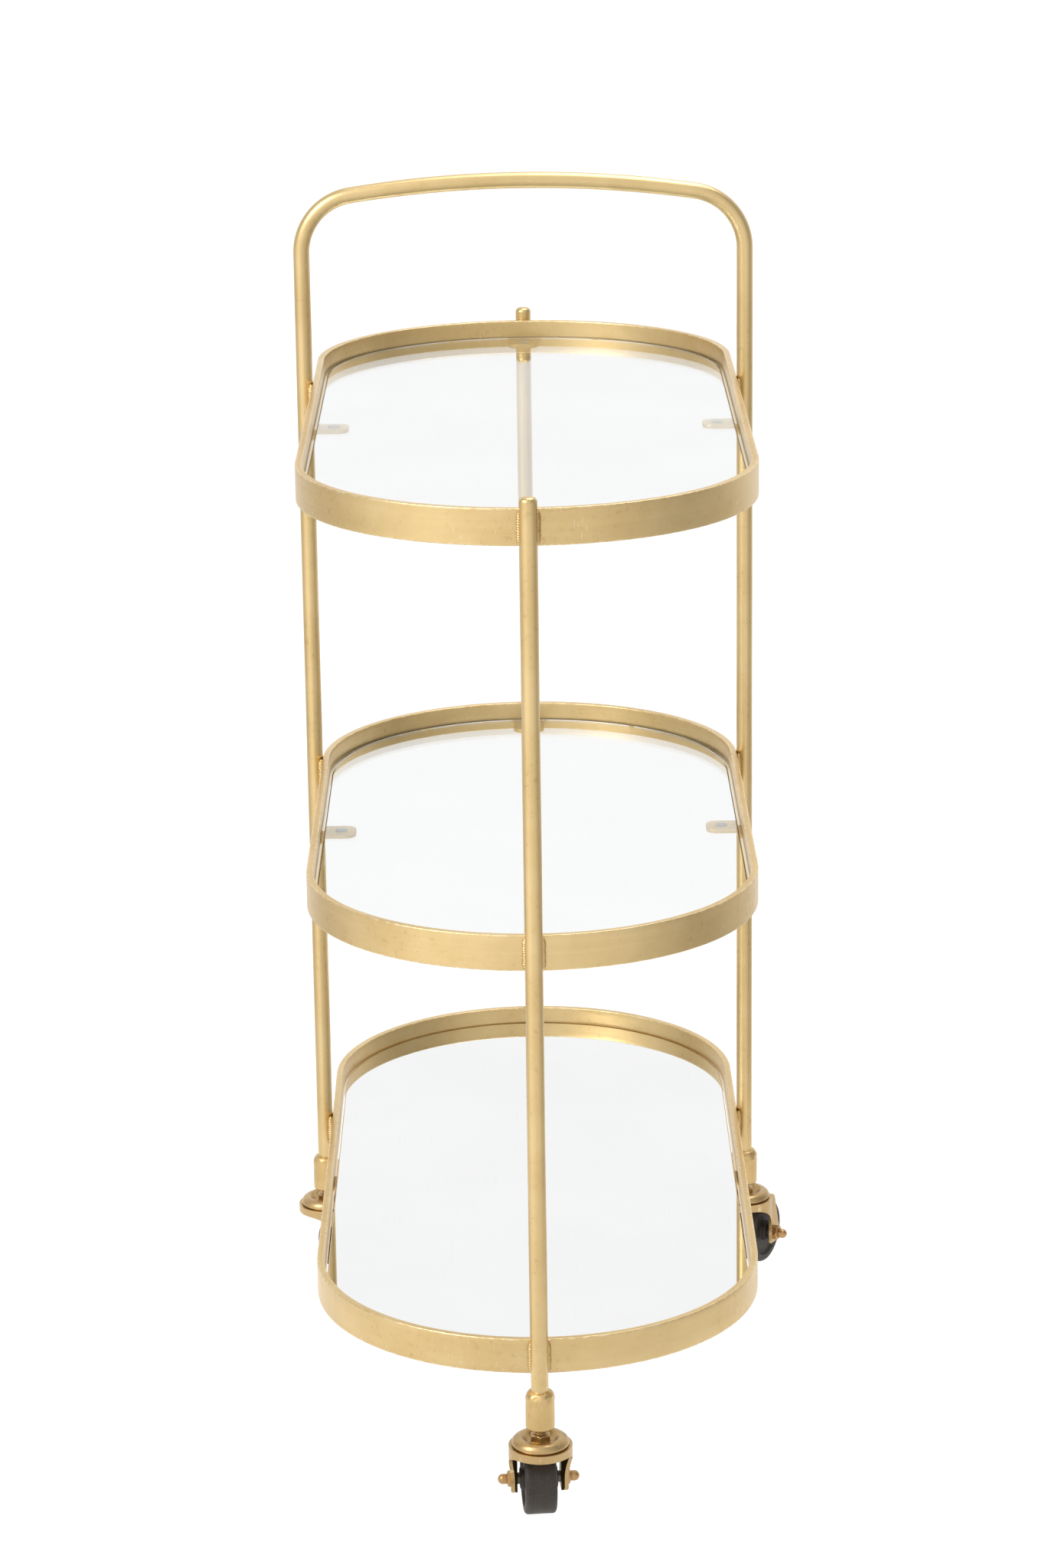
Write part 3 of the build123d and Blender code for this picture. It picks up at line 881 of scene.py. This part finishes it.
def makeLegs(s):
    for name, node, spot in (("frontLeg", "front_leg", legSpots[0]), ("rearLeg", "rear_leg", legSpots[1])):
        low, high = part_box(node)
        path, radii = roundTip(straightPath(Vector((*spot, low.z)), Vector((*spot, high.z)), s), s)
        mesh = rodMesh(name, path, radii, s)
        addPiece(name, mesh, [rodBrass], "frame", [node], 60)
    # one rod for both side legs and the handle: up, round a corner, over the arch and down again
    legX = handleHigh.x - rodRadius
    topZ = handleHigh.z - rodRadius
    archZ = topZ - s["archRadius"]
    cornerX = legX - s["cornerRadius"]
    cornerZ = archZ + math.sqrt((s["archRadius"] - s["cornerRadius"]) ** 2 - cornerX ** 2)
    lean = math.asin(cornerX / (s["archRadius"] - s["cornerRadius"]))
    right = straightPath(Vector((legX, sideY, handleLow.z)), Vector((legX, sideY, cornerZ)), s)
    for k in range(1, s["cornerSteps"] + 1):
        angle = (math.pi / 2 - lean) * k / s["cornerSteps"]
        right.append(Vector((cornerX + s["cornerRadius"] * math.cos(angle), sideY,
                             cornerZ + s["cornerRadius"] * math.sin(angle))))
    for k in range(1, s["archSteps"] + 1):
        angle = lean * (1 - k / s["archSteps"])
        right.append(Vector((s["archRadius"] * math.sin(angle), sideY,
                             archZ + s["archRadius"] * math.cos(angle))))
    left = [Vector((-p.x, p.y, p.z)) for p in reversed(right[:-1])]
    path = right + left
    mesh = rodMesh("handleFrame", path, [rodRadius] * len(path), s)
    addPiece("handleFrame", mesh, [rodBrass], "frame", ["handle_frame"], 60)


makeLegs(rodSettings)
print("stage: legs and handle made")


def weldTree():
    # rule: a column on each given point, swollen into stacked ripples, tapered at its ends and roughened
    tree, given, out = newGroup("weldBeads", "GeometryNodeTree", [
        ("Geometry", "NodeSocketGeometry", None),
        ("Height", floatSocket, 0.023), ("Radius", floatSocket, 0.0021),
        ("Ripple Pitch", floatSocket, 0.0016), ("Ripple Depth", floatSocket, 0.16),
        ("Lump", floatSocket, 0.0009), ("Seed", "NodeSocketInt", 3), materialIn,
    ], geometryOut)
    column = addNode(tree, "GeometryNodeMeshCylinder", {
        "Vertices": 18, "Side Segments": 64, "Radius": given["Radius"], "Depth": given["Height"]})
    place = addNode(tree, "GeometryNodeInputPosition").outputs[0]
    parts = addNode(tree, "ShaderNodeSeparateXYZ", {"Vector": place})
    rise = mathOf(tree, "DIVIDE", parts.outputs["Z"], mathOf(tree, "DIVIDE", given["Height"], 2.0))
    # ripples sag in the middle of the bead, so their phase follows x as well
    sag = times(tree, mathOf(tree, "ABSOLUTE", parts.outputs["X"]), 0.5)
    cycles = mathOf(tree, "DIVIDE", plus(tree, parts.outputs["Z"], sag), given["Ripple Pitch"])
    wave = mathOf(tree, "SINE", times(tree, cycles, math.tau))
    ripple = plus(tree, times(tree, wave, given["Ripple Depth"]), 1.0)
    taper = mathOf(tree, "SUBTRACT", 1.0, mathOf(tree, "POWER", mathOf(tree, "ABSOLUTE", rise), 9.0))
    girth = times(tree, ripple, mathOf(tree, "MAXIMUM", taper, 0.12))
    shaped = vectorOf(tree, "MULTIPLY", place, addNode(tree, "ShaderNodeCombineXYZ", {
        "X": girth, "Y": girth, "Z": 1.0}).outputs[0])
    bead = addNode(tree, "GeometryNodeSetPosition", {"Geometry": column.outputs["Mesh"], "Position": shaped})
    marked = addNode(tree, "GeometryNodeStoreNamedAttribute", {"Geometry": bead.outputs[0],
                     "Name": "acrossCo", "Value": place}, data_type="FLOAT_VECTOR", domain="POINT")
    turn = addNode(tree, "FunctionNodeRandomValue", {
        "Min": (0, 0, 0), "Max": (0, 0, 6.28), "Seed": given["Seed"]}, data_type="FLOAT_VECTOR")
    spread = addNode(tree, "GeometryNodeInstanceOnPoints", {
        "Points": given["Geometry"], "Instance": marked.outputs[0], "Rotation": turn.outputs["Value"]})
    real = addNode(tree, "GeometryNodeRealizeInstances", {"Geometry": spread.outputs[0]})
    cloud = addNode(tree, "ShaderNodeTexNoise", {"Vector": place, "Scale": 330.0, "Detail": 3.0})
    centred = vectorOf(tree, "SUBTRACT", cloud.outputs["Color"], (0.5, 0.5, 0.5))
    rough = addNode(tree, "GeometryNodeSetPosition", {
        "Geometry": real.outputs[0], "Offset": vectorOf(tree, "SCALE", centred, given["Lump"])})
    finishTree(tree, out, rough.outputs[0], given["Material"])
    return tree


weldSettings = {"radius": 2.2 * mm, "spread": 5.7 * mm, "standOff": 1.3 * mm, "ripplePitch": 1.7 * mm,
                "rippleDepth": 0.13, "lump": 1.1 * mm, "seed": 3, "touchWithin": 2 * mm}


def makeWelds(s):
    tree = weldTree()
    for shelf in ("top", "middle", "bottom"):
        low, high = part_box(shelf + "_welds")
        ringLow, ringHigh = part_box(shelf + "_ring")
        points = []
        for spot in legSpots:
            away = Vector((spot.x, 0)) if abs(spot.x) > abs(spot.y) else Vector((0, spot.y))
            away.normalize()
            reach = abs(ringHigh.y if away.y > 0 else ringLow.y) if away.x == 0 else ringHigh.x
            if abs(reach + rodRadius - abs(spot.x if away.x else spot.y)) > s["touchWithin"]:
                continue    # this leg passes the ring without touching it
            foot = spot - away * (rodRadius - s["standOff"])
            side = Vector((-away.y, away.x)) * s["spread"]
            points += [(*(foot + side), (low.z + high.z) / 2), (*(foot - side), (low.z + high.z) / 2)]
        seeds = bpy.data.meshes.new("weldSpots")
        seeds.from_pydata(points, [], [])
        mesh = treeMesh(tree, {
            "Height": high.z - low.z, "Radius": s["radius"], "Ripple Pitch": s["ripplePitch"],
            "Ripple Depth": s["rippleDepth"], "Lump": s["lump"], "Seed": s["seed"], "Material": weldBrass,
        }, seeds)
        mesh.name = shelf + "Welds"
        addPiece(shelf + "Welds", mesh, [weldBrass], "frame", [shelf + "_welds"], 70)


makeWelds(weldSettings)

tabSettings = {"width": 24 * mm, "corner": 8 * mm, "edgeRound": 0.5 * mm, "reach": 25 * mm, "root": 0.6 * mm}
padSettings = {"middle": 14 * mm, "radiusPerHeight": 4.5, "brim": 0.35, "segments": 32}


def tabOutline(s):
    # drawn with the wall at x = 0 and the rounded free end at x = reach; the root runs a little into the wall
    half, reach, corner = s["width"] / 2, s["reach"], s["corner"]
    points = [(-s["root"], -half)]
    for start, middle in ((-90, corner - half), (0, half - corner)):
        for k in range(9):
            angle = math.radians(start + 90 * k / 8)
            points.append((reach - corner + corner * math.cos(angle), middle + corner * math.sin(angle)))
    return points + [(-s["root"], half)]


def edgeRows(size, low, high):
    # inset and height of each loop of a plate whose edges are rounded by size
    return [(size, low), (size * 0.3, low + size * 0.3), (0, low + size),
            (0, high - size), (size * 0.3, high - size * 0.3), (size, high)]


def slabMesh(name, loops, sideSlot=0, lowSlot=0):
    # joins loops of equal length, each a list of points, and closes the first and the last with a flat face
    verts = [v for loop in loops for v in loop]
    count = len(loops[0])
    faces = bandFaces(len(loops), count)
    slots = [sideSlot] * len(faces) + [lowSlot, 0]
    faces.append(list(range(count)))
    faces.append(list(range((len(loops) - 1) * count, len(loops) * count)))
    across = [(v[0], v[1], v[2]) if sideSlot == 0 else (v[2], 0, 0) for v in verts]
    return meshFrom(name, verts, faces, across, slots)


def joinMeshes(name, meshes):
    bm = bmesh.new()
    for mesh in meshes:
        bm.from_mesh(mesh)
    for mesh in meshes:
        bpy.data.meshes.remove(mesh)
    return unloaded(bm, name)


def inwardLoop(points, inset):
    # moves a closed outline in by the same amount all round
    count = len(points)
    result = []
    for index, (x, y) in enumerate(points):
        before, after = Vector(points[index - 1]), Vector(points[(index + 1) % count])
        here = Vector((x, y))
        first, second = (here - before).normalized(), (after - here).normalized()
        normal = (Vector((-first.y, first.x)) + Vector((-second.y, second.x))).normalized()
        stretch = max(normal.dot(Vector((-first.y, first.x))), 0.3)
        result.append(tuple(here + normal * (inset / stretch)))
    return result


def makeTabs(s, p):
    for shelf in ("top", "middle", "bottom"):
        low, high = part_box(shelf + "_tabs")
        padLow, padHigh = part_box(shelf + "_pads")
        middle, tall = (low.y + high.y) / 2, padHigh.z - padLow.z
        padRadius = tall * p["radiusPerHeight"]
        dome = [(0, 0), (padRadius, 0)]
        for k in range(9):
            angle = math.pi * k / 16
            dome.append((padRadius * math.cos(angle), tall * (p["brim"] + (1 - p["brim"]) * math.sin(angle))))
        dome[-1] = (0, tall)
        outline = tabOutline(s)
        tabs, pads = [], []
        for x, y, turnDeg in ((0, low.y, 90), (0, high.y, 270), (low.x, middle, 0), (high.x, middle, 180)):
            turn = math.radians(turnDeg)
            place = Matrix.Translation((x, y, low.z)) @ Matrix.Rotation(turn, 4, "Z")
            loops = [[place @ Vector((px, py, z)) for px, py in inwardLoop(outline, inset)]
                     for inset, z in edgeRows(s["edgeRound"], 0, high.z - low.z)]
            tabs.append(slabMesh("tab", loops))
            spot = (x + p["middle"] * math.cos(turn), y + p["middle"] * math.sin(turn), padLow.z)
            pads.append(turnedMesh("pad", dome, p["segments"], Matrix.Translation(spot)))
        addPiece(shelf + "Tabs", joinMeshes(shelf + "Tabs", tabs), [tabBrass], "frame",
                 [shelf + "_tabs"], 12)
        addPiece(shelf + "Pads", joinMeshes(shelf + "Pads", pads), [clearPad], "frame",
                 [shelf + "_pads"], 60)


makeTabs(tabSettings, padSettings)
print("stage: welds, tabs and cushions made")

plateSettings = {"edgeRound": 0.8 * mm, "arcSteps": 96}


def slotLoop(low, high, inset, steps):
    radius = (high.x - low.x) / 2 - inset
    centreX = (low.x + high.x) / 2
    far, near = high.y - inset - radius, low.y + inset + radius
    points = []
    for start, middle in ((0, far), (math.pi, near)):
        for k in range(steps + 1):
            angle = start + math.pi * k / steps
            points.append((centreX + radius * math.cos(angle), middle + radius * math.sin(angle)))
    return points


def makePlates(s):
    for shelf, node in (("top", "top_glass"), ("middle", "middle_glass"), ("bottom", "bottom_mirror")):
        low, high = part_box(node)
        loops = [[Vector((x, y, z)) for x, y in slotLoop(low, high, inset, s["arcSteps"])]
                 for inset, z in edgeRows(s["edgeRound"], low.z, high.z)]
        mirror = node.endswith("mirror")
        mesh = slabMesh(node, loops, sideSlot=1, lowSlot=2 if mirror else 0)
        face = mirrorFace if mirror else clearGlass
        back = mirrorBack if mirror else clearGlass
        addPiece(shelf + ("Mirror" if mirror else "Glass"), mesh, [face, groundEdge, back], shelf + "_shelf",
                 [node], 12)


makePlates(plateSettings)
print("stage: glass and mirror made")

# Casters
socketSettings = {"radius": 10 * mm, "shoulderWidth": 3.4 * mm, "shoulderHeight": 5.5 * mm,
                  "footRound": 0.9 * mm, "lump": 0.55 * mm, "lumpRise": 1.5 * mm, "lumpSpread": 4.2 * mm}
stemSettings = {"radius": 4 * mm, "hexWidth": 13 * mm, "hexHeight": 6.2 * mm, "kingpin": 3.5 * mm,
                "rivet": 6.5 * mm, "rivetHeight": 1.8 * mm, "rivetRound": 1.1 * mm, "step": 0.4 * mm,
                "threadPitch": 1.25 * mm, "threadDepth": 0.45 * mm}
cupSettings = {"crest": 14 * mm, "wall": 1.8 * mm, "seat": 8.3 * mm, "bore": 4.2 * mm, "rim": 0.6 * mm,
               "segments": 120}
forkSettings = {"bendRound": 0.9 * mm, "bendSteps": 3}
nutSettings = {"flat": 9.8 * mm, "height": 4.2 * mm, "neck": 2.9 * mm, "dome": 3.6 * mm, "seat": 17.7 * mm,
               "bore": 2.9 * mm}
wheelSettings = {"edgeRound": 2.5 * mm, "boss": 7.5 * mm, "dish": 19.5 * mm, "dishDepth": 2.0 * mm,
                 "halfWidth": 11 * mm, "bossHalf": 13 * mm, "bore": 4.1 * mm}
joints = {joint["name"]: joint for joint in frame["record"]["behaviour"]["joints"]}


def makeSocket(name, spot, s):
    low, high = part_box(name + "_socket")
    tall = high.z - low.z
    shoulder = tall - s["shoulderHeight"]
    profile = [(0, 0), (s["radius"] - s["footRound"], 0)]
    profile += [(s["radius"] - s["footRound"] * (1 - math.sin(a)), s["footRound"] * (1 - math.cos(a)))
                for a in (math.radians(30), math.radians(60), math.radians(90))]
    profile = denser(profile + [(s["radius"], shoulder)], 1.2 * mm)
    profile += [(s["radius"] - s["shoulderWidth"] * (1 - math.cos(a)),
                 shoulder + s["shoulderHeight"] * math.sin(a))
                for a in (math.radians(9 * k) for k in range(1, 11))]
    lip = tall + 0.9 * mm
    profile += [(rodRadius + 0.1 * mm, tall + 0.5 * mm), (rodRadius - 0.3 * mm, lip), (0, lip)]
    seed = Vector((spot.x * 40, spot.y * 40, 1))

    def warp(r, z, angle):
        near = math.exp(-((z - shoulder - s["lumpRise"]) / s["lumpSpread"]) ** 2)
        where = Vector((math.cos(angle) * r, math.sin(angle) * r, z * 1.3))
        bump = noise.noise(where * 190 + seed) + 0.5 * noise.noise(where * 480 + seed)
        soft = noise.noise(where * 70 + seed) * 0.12 * mm
        return (r + soft + bump * near * s["lump"] if r > rodRadius else r), z

    mesh = turnedMesh(name + "Socket", profile, 112, Matrix.Translation((*spot, low.z)), warp)
    addPiece(name + "Socket", mesh, [socketBrass], "frame", [name + "_socket"], 70)


def threadTree():
    # rule: a helix swept with a small ridge
    tree, given, out = newGroup("stemThread", "GeometryNodeTree", [
        ("Turns", floatSocket, 4.0), ("Radius", floatSocket, 0.004), ("Height", floatSocket, 0.005),
        ("Ridge", floatSocket, 0.0004), materialIn,
    ], geometryOut)
    spiral = addNode(tree, "GeometryNodeCurveSpiral", {
        "Resolution": 40, "Rotations": given["Turns"], "Start Radius": given["Radius"],
        "End Radius": given["Radius"], "Height": given["Height"]})
    ridge = addNode(tree, "GeometryNodeCurvePrimitiveCircle", {"Resolution": 6, "Radius": given["Ridge"]})
    swept = addNode(tree, "GeometryNodeCurveToMesh", {
        "Curve": spiral.outputs[0], "Profile Curve": ridge.outputs[0], "Fill Caps": True})
    finishTree(tree, out, swept.outputs[0], given["Material"])
    return tree


def makeStem(name, spot, thread, s):
    low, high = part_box(name + "_stem")
    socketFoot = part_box(name + "_socket")[0].z
    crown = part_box(name + "_fork")[1].z
    seat = crown + 0.2 * mm + cupSettings["wall"]
    hexTop = seat + s["hexHeight"]
    rivetTop = low.z + s["rivetHeight"]
    profile = roundedPath([
        (0, low.z, 0), (s["rivet"], low.z, s["rivetRound"]), (s["rivet"], rivetTop, 0),
        (s["kingpin"], rivetTop, 0), (s["kingpin"], seat - s["step"], 0),
        (s["radius"], seat - s["step"], 0), (s["radius"], seat, 0),
    ], 5)
    flat = s["hexWidth"]
    corner = flat / 2 / math.cos(math.radians(30))
    profile += denser([(flat / 2 - 0.3 * mm, seat), (corner, seat + 0.5 * mm), (corner, hexTop - 1.0 * mm),
                       (flat / 2 - 0.4 * mm, hexTop), (s["radius"] - 0.3 * mm, hexTop)], 0.5 * mm)
    hexRows = (seat - 0.01 * mm, hexTop + 0.01 * mm)
    profile += [(s["radius"] - 0.3 * mm, high.z - 1 * mm), (s["radius"] - 1 * mm, high.z), (0, high.z)]

    def warp(r, z, angle):
        if hexRows[0] < z < hexRows[1] and r > s["radius"]:
            return min(r, hexReach(angle, flat)), z
        return r, z

    mesh = turnedMesh(name + "Stem", profile, 96, Matrix.Translation((*spot, 0)), warp)
    addPiece(name + "Stem", mesh, [casterBrass], "frame", [name + "_stem"], 28)
    tall = socketFoot - hexTop + 1.0 * mm
    ridges = treeMesh(thread, {"Turns": tall / s["threadPitch"], "Radius": s["radius"] - 0.3 * mm,
                               "Height": tall, "Ridge": s["threadDepth"], "Material": casterBrass})
    ridges.transform(Matrix.Translation((*spot, hexTop - 0.3 * mm)))
    addPiece(name + "Thread", ridges, [casterBrass], "frame", [], 40)


def makeCup(name, spot, s):
    low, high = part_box(name + "_cup")
    radius, bottom, top = (high.x - low.x) / 2, low.z, high.z
    crest, inner, rim = s["crest"], bottom + s["wall"], bottom + s["rim"]
    upper = []    # from the seat round the hexagon up over the crest and down to the rim
    for k in range(13):
        t = k / 12
        upper.append((s["seat"] + (crest - s["seat"]) * t, inner + (top - inner) * (3 * t * t - 2 * t ** 3)))
    for k in range(1, 13):
        a = math.radians(90 * k / 12)
        upper.append((crest + (radius - crest) * math.sin(a), rim + (top - rim) * math.cos(a)))
    profile = [(s["bore"], bottom), (s["bore"], inner)] + upper
    lower = [(r - s["wall"] * 0.75 if r > crest else r, max(z - s["wall"], bottom))
             for r, z in reversed(upper)]
    profile += [(radius - 0.3 * mm, bottom + 0.25 * mm), (radius - s["wall"] * 0.8, bottom + 0.3 * mm)]
    profile += lower[1:-1]
    mesh = turnedMesh(name + "Cup", profile, s["segments"], Matrix.Translation((*spot, 0)), closed=True)
    addPiece(name + "Cup", mesh, [casterBrass], "frame", [name + "_cup"], 50)


def ballTree():
    tree, given, out = newGroup("ballRace", "GeometryNodeTree", [
        ("Count", "NodeSocketInt", 18), ("Circle", floatSocket, 0.0142), ("Ball", floatSocket, 0.0019),
        materialIn,
    ], geometryOut)
    circle = addNode(tree, "GeometryNodeMeshCircle", {"Vertices": given["Count"], "Radius": given["Circle"]})
    ball = addNode(tree, "GeometryNodeMeshIcoSphere", {"Radius": given["Ball"], "Subdivisions": 3})
    spread = addNode(tree, "GeometryNodeInstanceOnPoints", {
        "Points": circle.outputs[0], "Instance": ball.outputs[0]})
    finishTree(tree, out, spread.outputs[0], given["Material"])
    return tree


def makeBalls(name, spot, tree):
    low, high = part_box(name + "_balls")
    ball = (high.z - low.z) / 2
    mesh = treeMesh(tree, {"Count": 18, "Circle": 14.2 * mm, "Ball": ball, "Material": ballSteel})
    mesh.transform(Matrix.Translation((*spot, low.z + ball)))
    addPiece(name + "Balls", mesh, [ballSteel], name + "_caster", [name + "_balls"], 60)


def makeFork(name, s):
    # the pressed fork: a merged copy of the CAD shape, its bends and edges rounded
    source = frame["nodes"][name + "_fork"]
    bm = bmesh.new()
    bm.from_mesh(source.data)
    bmesh.ops.remove_doubles(bm, verts=bm.verts, dist=0.005 * mm)
    bmesh.ops.dissolve_limit(bm, angle_limit=math.radians(1.0), verts=bm.verts, edges=bm.edges)
    mesh = unloaded(bm, name + "Fork")
    holder = linked("forkBlank", mesh)
    bevel = holder.modifiers.new("bends", "BEVEL")
    bevel.width = s["bendRound"] / 2
    bevel.segments = s["bendSteps"]
    bevel.limit_method = "ANGLE"
    bevel.angle_limit = math.radians(38)
    smooth = holder.modifiers.new("flats", "WEIGHTED_NORMAL")
    smooth.keep_sharp = True
    settle(mesh, 60)
    addPiece(name + "Fork", plainMesh(holder), [casterBrass], name + "_caster",
             [name + "_fork"])


def axleFrame(roll):
    axis = Vector(roll["axis"]).normalized()
    up = Vector((0, 0, 1))
    side = up.cross(axis)
    turn = Matrix((up, side, axis)).transposed().to_4x4()
    return Matrix.Translation(Vector(roll["pos_m"])) @ turn


def makeNuts(name, place, s):
    corner, top, dome = s["flat"] / 2 / math.cos(math.radians(30)), s["height"], s["dome"]
    profile = [(0, 0)] + denser([(s["bore"], 0), (corner - 0.3 * mm, 0), (corner, 0.3 * mm),
                                 (corner, top - 0.8 * mm), (s["flat"] / 2 - 0.35 * mm, top)], 0.4 * mm)
    profile += [(dome + 0.15 * mm, top), (dome - 0.1 * mm, top + 0.3 * mm)]
    profile += [(dome * math.cos(a), top + s["neck"] + dome * math.sin(a))
                for a in (math.radians(9 * k) for k in range(10))]
    profile += [(0, top + s["neck"] + dome)]

    def warp(r, z, angle):
        return (min(r, hexReach(angle, s["flat"])) if z < top + 0.01 * mm and r > dome + 0.3 * mm else r), z

    meshes = []
    for seat, turn in ((s["seat"], 0), (-s["seat"], math.pi)):
        side = Matrix.Translation((0, 0, seat)) @ Matrix.Rotation(turn, 4, "X")
        meshes.append(turnedMesh("nut", profile, 72, place @ side, warp))
    addPiece(name + "Nuts", joinMeshes(name + "Nuts", meshes), [nutBrass], name + "_caster",
             [name + "_nuts"], 28)


def makeWheel(name, place, radius, s):
    half, web = s["halfWidth"], s["halfWidth"] - s["dishDepth"]
    side = [(s["bore"], s["bossHalf"], 0), (s["boss"], s["bossHalf"], 0.7 * mm),
            (s["boss"] + 0.5 * mm, web, 0.8 * mm), (s["dish"] - 0.8 * mm, web, 0.8 * mm),
            (s["dish"], half, 0.6 * mm), (radius, half, s["edgeRound"]), (radius, 0, 0)]
    rightHalf = roundedPath(side, 6)
    profile = rightHalf + [(r, -z) for r, z in reversed(rightHalf[:-1])]
    profile = denser(profile, 1.4 * mm)

    def warp(r, z, angle):
        where = Vector((math.cos(angle) * r, math.sin(angle) * r, z))
        worn = noise.noise(where * 120) * 0.10 * mm if r > s["dish"] else 0.0
        return r + worn, z

    mesh = turnedMesh(name + "Wheel", profile, 144, place, warp, closed=True)
    addPiece(name + "Wheel", mesh, [wheelBlack], name + "_wheel", [name + "_wheel"], 38)


def makeCasters():
    thread, race = threadTree(), ballTree()
    for name in ("front", "rear", "left", "right"):
        spot = Vector(joints[name + "_swivel"]["pos_m"][:2])
        roll = joints[name + "_roll"]
        place = axleFrame(roll)
        makeSocket(name, spot, socketSettings)
        makeStem(name, spot, thread, stemSettings)
        makeCup(name, spot, cupSettings)
        makeBalls(name, spot, race)
        makeFork(name, forkSettings)
        makeNuts(name, place, nutSettings)
        makeWheel(name, place, roll["pos_m"][2], wheelSettings)
        for part in ("_axle", "_bush"):
            node = frame["nodes"][name + part]
            node.data.materials.clear()
            node.data.materials.append(oiledSteel)


makeCasters()
print("stage: casters made")
